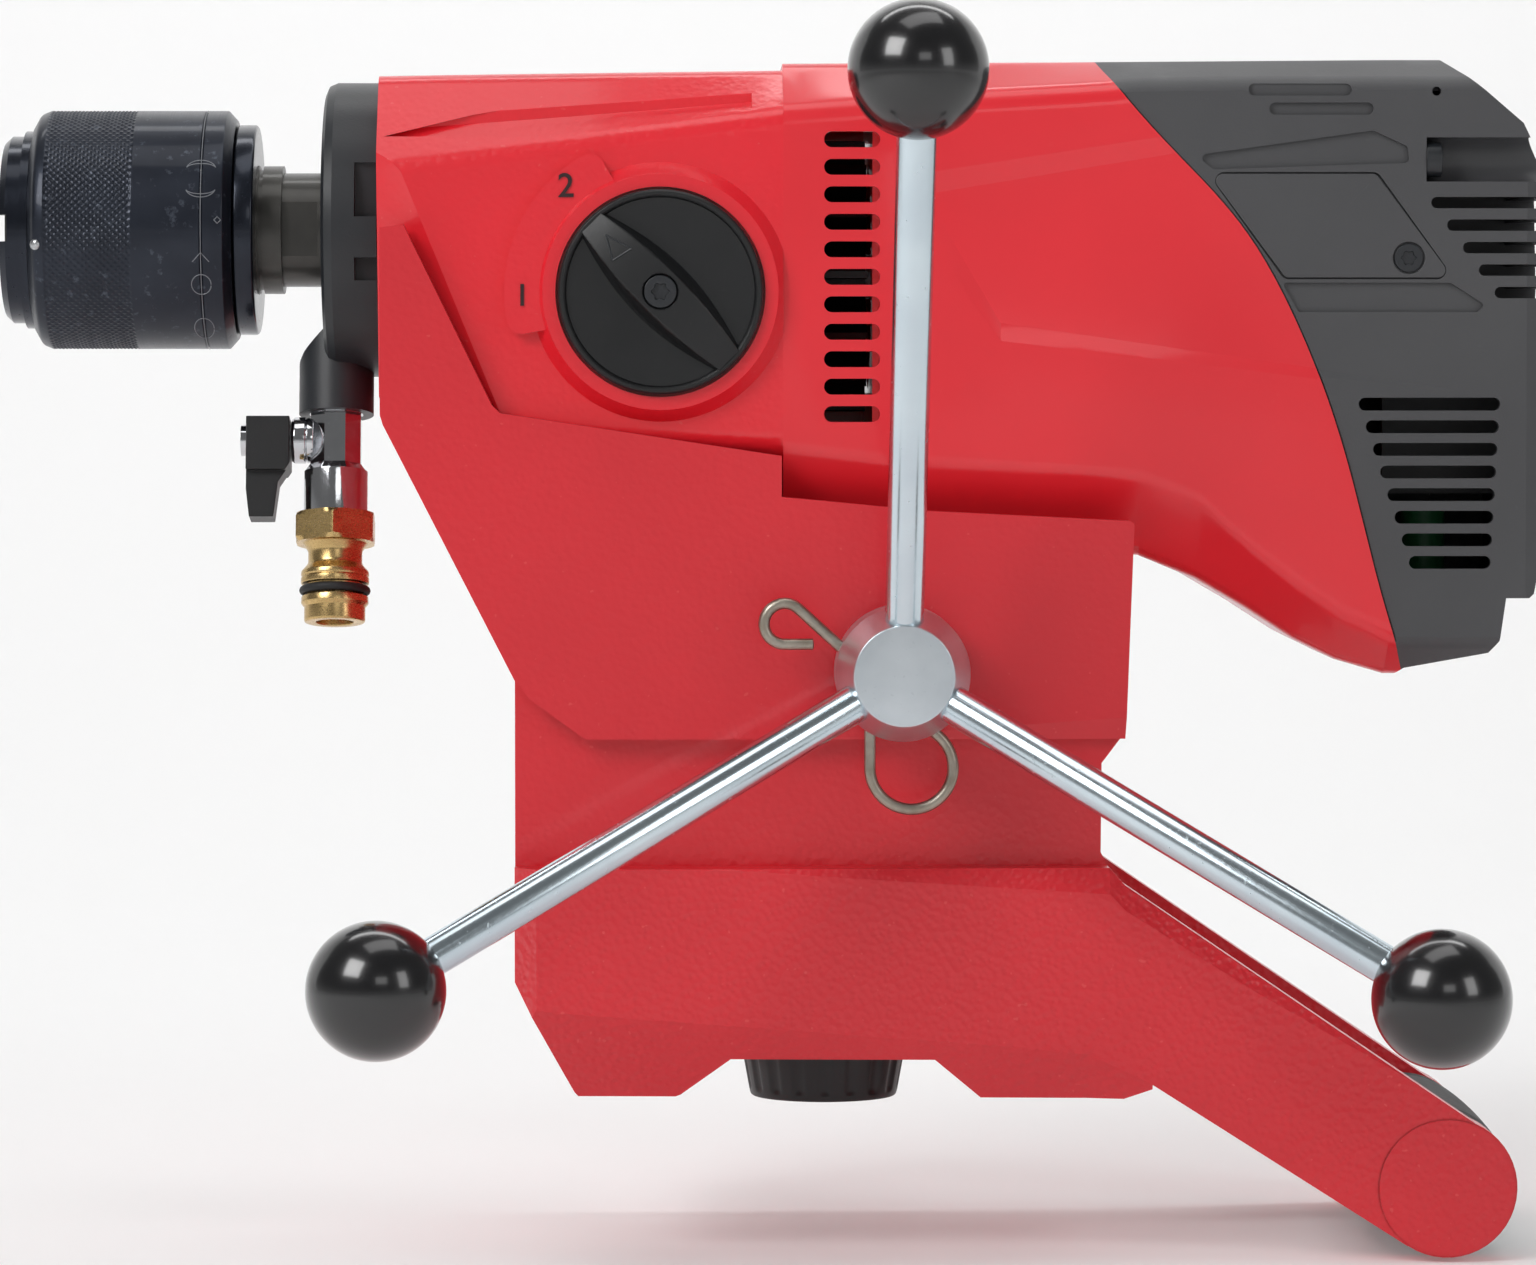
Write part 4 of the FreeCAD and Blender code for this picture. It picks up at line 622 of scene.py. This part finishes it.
# a point on the sleeve from its place along the axis and its height, on the wheel side
def onSleeve(x, height, lift=0.02):
    r = sleeveSettings["radius"] + lift
    rise = np.asarray(height, float) - spindleAxis[2] / mm
    return np.stack(np.broadcast_arrays(x, -np.sqrt(r * r - rise * rise), rise + spindleAxis[2] / mm),
                    -1) * mm


markSettings = {"ring": -160.5, "crescents": ((182.5, 1), (175.5, -1)), "crescentHalf": 3.9,
                "dots": (181.2, 180.0, 178.8, 177.6, 176.6), "ringsAt": (151.0, 139.5), "ringRadius": 2.6,
                "arrow": 158.6, "tick": 168.0, "line": 0.13, "proud": 0.03}


# position marks: crescents that face each other across a row of dots, an arrow, a tick and rings
def makeMarks(s):
    turn = np.linspace(0, 2 * math.pi, 160)
    r = (sleeveSettings["radius"] - s["proud"]) * mm
    circle = np.column_stack([np.full(160, s["ring"] * mm), r * np.cos(turn), r * np.sin(turn)])
    grids = [(wireAlong(circle + spindleBase, s["line"] * mm, (1, 0, 0), 6), False, True)]
    bow = np.radians(np.linspace(12, 168, 24))
    half = s["crescentHalf"]
    paths = []
    for height, way in s["crescents"]:
        x = np.concatenate([np.cos(bow), np.cos(bow[::-1])]) * half + s["ring"]
        z = np.concatenate([np.sin(bow) * 0.62, np.sin(bow[::-1]) * 0.34 + 0.06]) * half * way + height - way
        paths.append((np.append(x, x[0]), np.append(z, z[0])))
    for height in s["ringsAt"]:
        paths.append((s["ring"] + s["ringRadius"] * np.cos(turn[::4]),
                      height + s["ringRadius"] * np.sin(turn[::4])))
    arrow = np.array([-1.6, -0.4, 0.8, -0.4, -1.6])
    paths.append((s["ring"] + np.array([-2.2, -1.1, 0, 1.1, 2.2]), s["arrow"] + arrow))
    paths.append((s["ring"] + 4.5 + np.array([-0.9, 0, 0.9, 0, -0.9]),
                  s["tick"] + np.array([0, 0.9, 0, -0.9, 0])))
    for x, z in paths:
        points = onSleeve(x, z)
        grids.append((wireAlong(points, s["line"] * mm, points * (0, 1, 1) - spindleBase, 6), False, True))
    for height in s["dots"]:
        dot = rounded([(-0.1, 0), (0.05, 0.28, 0.1), (0.12, 0)], 0.05)
        middle = onSleeve(s["ring"], height)
        grids.append((spun(dot, middle, middle * (0, 1, 1) - spindleBase, 10), False, True))
    return solidMesh("sleeve_marks", grids)


# index stud on the sleeve's front chamfer: a dome let into the metal
def makeStud():
    dome = np.linspace(0, math.pi / 2, 8)
    profile = np.column_stack([np.sin(dome) * 0.9, np.cos(dome) * 1.5])
    profile = np.concatenate([[[-0.8, 0.0], [-0.8, 1.5]], profile])
    rise = -4.5
    base = spindleBase + np.array((-204.3, -math.sqrt(31.0 ** 2 - rise ** 2), rise)) * mm
    return solidMesh("sleeve_index_stud", [(spun(profile, base, (-0.4, -0.9, rise / 31), 24), False, True)])


settle(makeChuckSleeve(sleeveSettings), "chuck_sleeve", look="blued_knurl")
settle(makeMarks(markSettings), body="chuck_sleeve", slot="steel", look="mark_grey")
settle(makeStud(), body="chuck_sleeve", slot="steel")
rearRing = rounded([(-152.4, 17.3), (-152.4, 28.2, 0.7), (-147, 28.2, 0.9), (-147, 17.3)], 0.3, True)
rearRingGrid = (spun(rearRing, spindleBase, (1, 0, 0), 128), True, True)
settle(solidMesh("chuck_rear_ring_turned", [rearRingGrid]), "chuck_rear_ring")
print("chuck made")

wheelBase = wheelAxis * (1, 0, 1)
wheelSettings = {"radius": 152.4, "ball": 17.5, "rod": 5.0, "dish": 24, "angles": (89.5, 209.5, 329.5),
                 "footRadius": 15, "footDepth": -88}


# ball centre and rod direction for each spoke, dished out from the hub by the dish angle
def spokeLines(s):
    dish = math.radians(s["dish"])
    reach = (s["radius"] - s["footRadius"]) / math.cos(dish) * mm
    for degrees in s["angles"]:
        a = math.radians(degrees)
        radial = np.array((math.cos(a), 0, math.sin(a)))
        lean = radial * math.cos(dish) + np.array((0, -math.sin(dish), 0))
        foot = wheelBase + np.array((0, s["footDepth"], 0)) * mm + radial * s["footRadius"] * mm
        yield foot + lean * reach, lean


# spheres that a small flat joins to their rods, with a faint parting ridge round the middle
def makeBalls(s):
    angle = np.linspace(0.16, math.pi, 60)
    r = s["ball"] - 0.02 + 0.03 * np.exp(-((angle - 1.1) / 0.012) ** 2)
    profile = np.column_stack([-r * np.cos(angle), r * np.sin(angle)])
    profile = np.concatenate([[[profile[0, 0], 0.0]], profile])
    profile[-1, 1] = 0
    return solidMesh("ball_knobs_round", [(spun(profile, centre, lean), False, True)
                                          for centre, lean in spokeLines(s)], 50)


def makeSpokes(s):
    length = (s["radius"] - s["footRadius"]) / math.cos(math.radians(s["dish"])) + 6
    profile = rounded([(-length, 0), (-length, s["rod"], 0.4), (0, s["rod"], 0.4), (0, 0)], 0.4)
    return solidMesh("wheel_rods", [(spun(profile, centre, lean, 48), False, True)
                                    for centre, lean in spokeLines(s)])


def makeHub():
    outer = rounded([(-93, 0), (-93, 12.9, 0.35), (-92.4, 13.2, 0.3), (-82, 17.4, 0.8), (-61, 17.4, 0.8),
                     (-60, 16.4, 0.4), (-60, 9.3), (-60, 9.1)], 0.3)
    inner = np.array([(-60, 9.05), (-81.6, 9.05), (-81.6, 0)])
    grid = spun(np.concatenate([outer, inner]), wheelBase, (0, 1, 0), 128)
    return solidMesh("wheel_hub_turned", [(grid, False, True)])


clipSettings = {"depth": -72, "wire": 1.5, "loop": (26.4, 25.3), "bend": 10.8, "curlBend": 5.3,
                "curlReach": 49.5, "run": (-0.740, 0.673), "leg": 16, "tip": 7.3}


# wire in a plane: up leg, loop, long leg tangent to it, and a curl at the end
def makeClip(s):
    loop = np.array(s["loop"])
    run = np.array(s["run"]) / np.hypot(*s["run"])
    across = np.array((run[1], -run[0]))
    lean = math.atan2(across[1], across[0])
    a = np.linspace(math.pi, 2 * math.pi + lean, 48)
    ring = loop + s["bend"] * np.column_stack([np.cos(a), np.sin(a)])
    leg = ring[0] + np.column_stack([np.zeros(12), np.linspace(s["leg"], 0.6, 12)])
    leave = loop + across * s["bend"]
    straight = leave + run * np.linspace(0.6, s["curlReach"] - 0.4, 24)[:, None]
    curl = leave + run * s["curlReach"] - across * s["curlBend"]
    c = np.linspace(lean, math.radians(270), 30)
    curled = curl + s["curlBend"] * np.column_stack([np.cos(c), np.sin(c)])
    tip = curled[-1] + np.column_stack([np.linspace(0.6, s["tip"], 8), np.zeros(8)])
    flat = np.concatenate([leg, ring, straight, curled, tip])
    path = np.column_stack([flat[:, 0], np.full(len(flat), s["depth"]), flat[:, 1]]) * mm
    return solidMesh("spring_clip_wire", [(wireAlong(path, s["wire"] * mm, (0, 1, 0)), False, True)], 50)


settle(makeBalls(wheelSettings), "ball_knobs")
settle(makeSpokes(wheelSettings), "wheel_spokes", look="rod_steel")
settle(makeHub(), "wheel_hub")
settle(makeClip(clipSettings), "spring_clip")
print("hand wheel made")

selectorBase = selectorAxis * (1, 0, 1)
knobSettings = {"radius": 26.8, "back": 47.3, "barHalf": 6.3, "barNarrows": 2.0, "barReach": 25.4,
                "floor": 52.0,
                "barRise": 7.0, "barFall": 4.2, "flare": 2.4, "recess": 4.7, "recessDepth": 1.6, "lean": 135,
                "pointer": ((-14.2, 14.7), (-7.5, 11.2), (-12.4, 8.1))}


# disc: a rim stands above a floor dished by 0.9 (r / 25)^2; bar: u runs along it and t across, the
# crown narrows and falls towards the ends, the flanks flare out to the foot, a round dent takes the screw
def makeKnob(s):
    rim = rounded([(s["back"], 0), (s["back"], s["radius"], 0.5), (54.0, s["radius"], 0.6), (54.6, 26.2, 0.3),
                   (54.6, 25.5, 0.3), (54.2, 25.0, 0.2), (53.1, 24.6, 0.2)], 0.3)
    r = np.linspace(24.2, 0, 14)
    disc = np.concatenate([rim, np.column_stack([s["floor"] + 0.2 + 0.9 * (r / 25) ** 2, r])])
    u = np.linspace(-1, 1, 121)[:, None]
    t = np.linspace(-1, 1, 73)[None, :]
    crown = s["barHalf"] - s["barNarrows"] * u ** 2
    foot = crown + s["flare"] * (1 - u ** 2) + 0.3
    across = t * foot
    flank = np.clip((np.abs(across) - crown + 0.9) / (foot - crown + 0.9), 0, 1)
    rise = np.interp(flank, [0, 0.12, 0.22, 0.45, 0.7, 0.9, 1], [1, 0.985, 0.9, 0.5, 0.18, 0.04, 0])
    along = np.broadcast_to(s["barReach"] * u, across.shape)
    dent = np.clip((s["recess"] - np.hypot(along, across)) / 0.45, 0, 1) * s["recessDepth"]
    height = s["floor"] + (s["barRise"] - s["barFall"] * np.abs(u) ** 2.2) * rise - dent
    along = np.column_stack([along, along[:, -1], along[:, 0]])
    across = np.column_stack([across, across[:, -1], across[:, 0]])
    height = np.column_stack([height, np.full((121, 2), s["floor"] - 0.4)])
    lean = math.radians(s["lean"])
    x = along * math.cos(lean) + across * math.sin(lean)
    z = along * math.sin(lean) - across * math.cos(lean)
    bar = selectorBase + np.stack([x, -height, z], -1) * mm
    first, last = bar[:1].mean(1, keepdims=True), bar[-1:].mean(1, keepdims=True)
    bar = np.concatenate([np.broadcast_to(first, (1, bar.shape[1], 3)), bar,
                          np.broadcast_to(last, (1, bar.shape[1], 3))])
    grids = [(spun(disc, selectorBase, (0, -1, 0), 144), False, True), (bar, False, True)]
    return solidMesh("selector_knob_moulded", grids, 30)


# raised outline of a pointer on the bar's crown, which falls with the 2.2th power of the way along it
def makePointer(s):
    corners = np.array(s["pointer"] + s["pointer"][:2])
    sides = [np.linspace(a, b, 9) for a, b in zip(corners[:3], corners[1:4])]
    lean = math.radians(s["lean"])
    grids = []
    for side in sides:
        u = np.abs(side[:, 0] * math.cos(lean) + side[:, 1] * math.sin(lean)) / s["barReach"]
        crown = s["floor"] + s["barRise"] - s["barFall"] * u ** 2.2
        path = selectorBase + np.column_stack([side[:, 0], -crown, side[:, 1]]) * mm
        grids.append((wireAlong(path, 0.28 * mm, (0, 1, 0), 8), False, True))
    return solidMesh("selector_pointer", grids)


# screw with a star socket: the socket's radius swells by 0.13 of itself six times round
def screwGrid(base, axis, foot, seat, top, shank, head, socket, depth):
    profile = rounded([(foot, 0), (foot, shank), (seat, shank, 0), (seat, head), (top, head, 0.35),
                       (top, socket * 1.14, 0.05),
                       (top - depth, socket * 1.05, 0.05), (top - depth, 0)], 0.1)

    def star(along, angle, radius):
        isSocket = (radius < socket * 1.2) & (along > top - depth - 0.01)
        return np.where(isSocket, radius * (1 + 0.13 * np.cos(6 * angle)), radius)

    return spun(profile, base, axis, 72, star), False, True


# numeral laid in the X-Z plane, scaled to its height, facing the wheel side
def makeNumeral(name, text, centre, height):
    curve = bpy.data.curves.new(name, "FONT")
    curve.body = text
    curve.extrude = 0.04
    curve.offset = 0.008
    writing = bpy.data.objects.new(name, curve)
    bpy.context.collection.objects.link(writing)
    bpy.context.view_layer.update()
    graph = bpy.context.evaluated_depsgraph_get()
    mesh = bpy.data.meshes.new_from_object(writing.evaluated_get(graph))
    bpy.data.objects.remove(writing)
    work = bmesh.new()
    work.from_mesh(mesh)
    bpy.data.meshes.remove(mesh)
    bmesh.ops.remove_doubles(work, verts=work.verts, dist=1e-5)
    piece = finishedMesh(name, work, 30)
    spots = np.empty(len(piece.data.vertices) * 3)
    piece.data.vertices.foreach_get("co", spots)
    spots = spots.reshape(-1, 3)
    low, high = spots.min(0), spots.max(0)
    spots = (spots - (low + high) / 2) * height / (high[1] - low[1])
    placed = np.column_stack([spots[:, 0], -spots[:, 2], spots[:, 1]]) + centre
    piece.data.vertices.foreach_set("co", placed.ravel())
    return piece


capScrewSettings = {"coverX": 157.9, "coverZ": 157.8, "capX": 166.6, "capY": 43.6, "capZ": 183.6}


def makeCapScrews(s):
    grids = []
    for side in (-1, 1):
        cover = np.array((s["coverX"], 0, s["coverZ"])) * mm
        grids.append(screwGrid(cover, (0, side, 0), 45.6, 46.1, 46.9, 1.6, 3.8, 1.6, 0.6))
        long = np.array((0, side * s["capY"], s["capZ"])) * mm
        grids.append(screwGrid(long, (1, 0, 0), 162.5, 162.6, s["capX"], 4.5, 4.6, 2.2, 1.8))
    return solidMesh("cap_screws_star", grids)


settle(makeKnob(knobSettings), "selector_knob")
settle(makePointer(knobSettings), body="selector", slot="black_plastic", look="black_flange")
selectorScrew = screwGrid(selectorBase, (0, -1, 0), 47.4, 57.0, 58.6, 2.5, 4.3, 1.9, 1.0)
settle(solidMesh("selector_screw_star", [selectorScrew]),
       "selector_screw", look="black_flange")
settle(makeCapScrews(capScrewSettings), "cap_screws", look="black_flange")
print("selector made")

lockBase = lockAxis * (1, 1, 0)
lockSettings = {"flutes": 18, "depth": 0.6, "from": -66.6, "to": -52.4}


# knob with flutes: the radius falls by depth where the cosine of the flutes' angle is positive
def makeLockKnob(s):
    def flutes(along, angle, radius):
        inside = np.clip((along - s["from"]) / 1.5, 0, 1) * np.clip((s["to"] - along) / 0.8, 0, 1)
        wave = np.clip(np.cos(s["flutes"] * angle), 0, 1) ** 0.7
        return radius - np.where(radius > 15, s["depth"] * wave * inside, 0)

    foot = rounded([(-66.5, 0), (-66.5, 13, 0.3), (-68, 13, 0.4), (-68, 19.6, 0.9), (-66.6, 20.0, 0.3)], 0.3)
    side = np.column_stack([np.linspace(-66.2, -54.4, 22), np.linspace(20.1, 22.25, 22)])
    crown = rounded([(-54.0, 22.3), (-50.2, 22.3, 1.0), (-50.2, 5.05), (-60, 5.05), (-60, 0)], 0.3)
    grid = spun(np.concatenate([foot, side, crown]), lockBase, (0, 0, 1), s["flutes"] * 14, flutes)
    return solidMesh("lock_knob_fluted", [(grid, False, True)])


gripSettings = {"x": 167.4, "z": -85.8, "half": 47.8, "bore": 10.6, "edge": 18.3, "belly": 0.9,
                "grooves": (38.0, 42.0)}


# grip: the radius swells by belly (1 - (y / half)^2) and dips 0.5 at each groove
def makeGrip(s):
    y = np.linspace(-46.6, 46.6, 161)
    r = s["edge"] + s["belly"] * (1 - (y / 46.6) ** 2)
    dips = sum(np.exp(-((np.abs(y) - groove) / 0.6) ** 2) for groove in s["grooves"])
    skin = np.column_stack([y, r - 0.5 * dips])
    near = np.array([(-s["half"], s["bore"]), (-s["half"], 17.4)])
    far = np.array([(s["half"], 17.4), (s["half"], s["bore"])])
    base = np.array((s["x"], 0, s["z"])) * mm
    tube = spun(np.concatenate([near, skin, far]), base, (0, 1, 0), 96)
    return solidMesh("handle_grip_rubber", [(tube, True, True)])


settle(makeLockKnob(lockSettings), "lock_knob")
settle(makeGrip(gripSettings), "handle_grip")
print("lock and grip made")

waterSettings = {"x": -125.8, "tilt": 12, "stem": 57.8, "octagon": 6.7, "hex": 10.3}
waterBase = np.array((waterSettings["x"] * mm, 0, spindleAxis[2]))
waterTilt = math.radians(waterSettings["tilt"])
waterDown = np.array((0, -math.sin(waterTilt), -math.cos(waterTilt)))


# valve: eight flats cut a round body down to where it flares; the ball's room is inside, and a
# bush with two grooves stands out square to it for the stem
def makeValve(s):
    outer = rounded([(46, 3.4), (46, 6.6), (50.8, 6.6, 0), (50.8, 7.35), (52, 7.6, 0), (62, 7.6, 0),
                     (66.6, 8.55, 1.5),
                     (78, 8.55, 0.3), (78, 3.4)], 0.2)
    turn = np.linspace(0, math.pi, 17)
    room = np.column_stack([s["stem"] + 5.4 * np.cos(turn), np.maximum(5.4 * np.sin(turn), 3.4)])
    lines = np.linspace(50.9, 64.6, 30)
    start, stop = outer[outer[:, 0] <= 50.8], outer[outer[:, 0] > 64.6]
    middle = np.column_stack([lines, np.interp(lines, outer[:, 0], outer[:, 1])])

    def flats(along, angle, radius):
        isCut = (along > 50.8) & (along < 66) & (radius > 6)
        return np.where(isCut, np.minimum(radius, polygonRadius(angle, 8, s["octagon"])), radius)

    body = spun(np.concatenate([start, middle, stop, room]), waterBase, waterDown, 192, flats)
    stem = waterBase + waterDown * s["stem"] * mm
    bush = rounded([(5.9, 2.6), (5.9, 6.1), (7.6, 6.1, 0.2), (7.9, 5.8, 0.1), (8.2, 6.25, 0.2),
                    (11.0, 6.25, 0.5), (11.8, 5.6, 0.2),
                    (11.8, 2.6)], 0.15)
    stemBush = spun(bush, stem, (-1, 0, 0), 96)
    return solidMesh("valve_body_chromed", [(body, True, True), (stemBush, True, True)], 24)


# nipple: a chamfered hexagon, the radius being the lesser of the six flats' and the turned outline's
def makeNipple(s):
    hexEnd = 86
    outline = rounded([(78, 3.5), (78, 10.7, 0.1), (79.2, 11.85, 0.2), (84.8, 11.85, 0.2),
                       (hexEnd, 10.7, 0), (hexEnd, 8.8, 0.5),
                       (88, 7.2, 2.0), (91.5, 7.2, 2.0), (93.6, 9.0, 0.5), (94.6, 9.1, 0.1),
                       (95.0, 8.8, 0.1), (95.4, 9.1, 0.1),
                       (97.0, 9.1, 0.3), (97.0, 7.5), (100.4, 7.5), (100.4, 8.9, 0.2), (102.2, 9.0, 0.4),
                       (103.2, 8.15, 0.4),
                       (107.3, 8.15, 0.6), (107.3, 5.0, 0.3), (90, 5.0), (88, 3.5)], 0.1, True)
    along = outline[:, 0]

    def flats(along, angle, radius):
        hexagon = np.minimum(radius, polygonRadius(angle, 6, s["hex"], math.pi / 6))
        return np.where(along < hexEnd + 0.01, hexagon, radius)

    turned = spun(outline, waterBase, waterDown, 192, flats)
    return solidMesh("hose_nipple_turned", [(turned, True, True)], 24)


# seals: two lip rings in the flange and the nipple's round ring
def makeSeals():
    turn = np.linspace(0, 2 * math.pi, 24, endpoint=False)
    ring = np.column_stack([98.7 + 1.15 * np.cos(turn), np.maximum(8.35 + 1.15 * np.sin(turn), 7.5)])
    grids = [(spun(ring, waterBase, waterDown, 96), True, True)]
    for x in (-127.4, -117.6):
        lip = rounded([(x, 15.5), (x, 17.9), (x + 2.1, 17.9), (x + 2.1, 15.5)], 0.3, True)
        grids.append((spun(lip, spindleBase, (1, 0, 0), 96), True, True))
    return solidMesh("water_seal_rings", grids)


settle(makeValve(waterSettings), "valve_body")
settle(makeNipple(waterSettings), "hose_nipple")
settle(makeSeals(), "water_seals")
print("water feed made")

# speed numerals on the gearbox's ear
numeralSettings = {"numeral_high": ("2", (-63.4, -51.05, 176.7), 6.3),
                   "numeral_low": ("1", (-74.9, -51.05, 148.0), 5.7)}
for name, (text, centre, height) in numeralSettings.items():
    settle(makeNumeral(name, text, np.array(centre) * mm, height * mm), body="carriage", slot="black_plastic",
           look="numeral_ink")
print("numerals made")
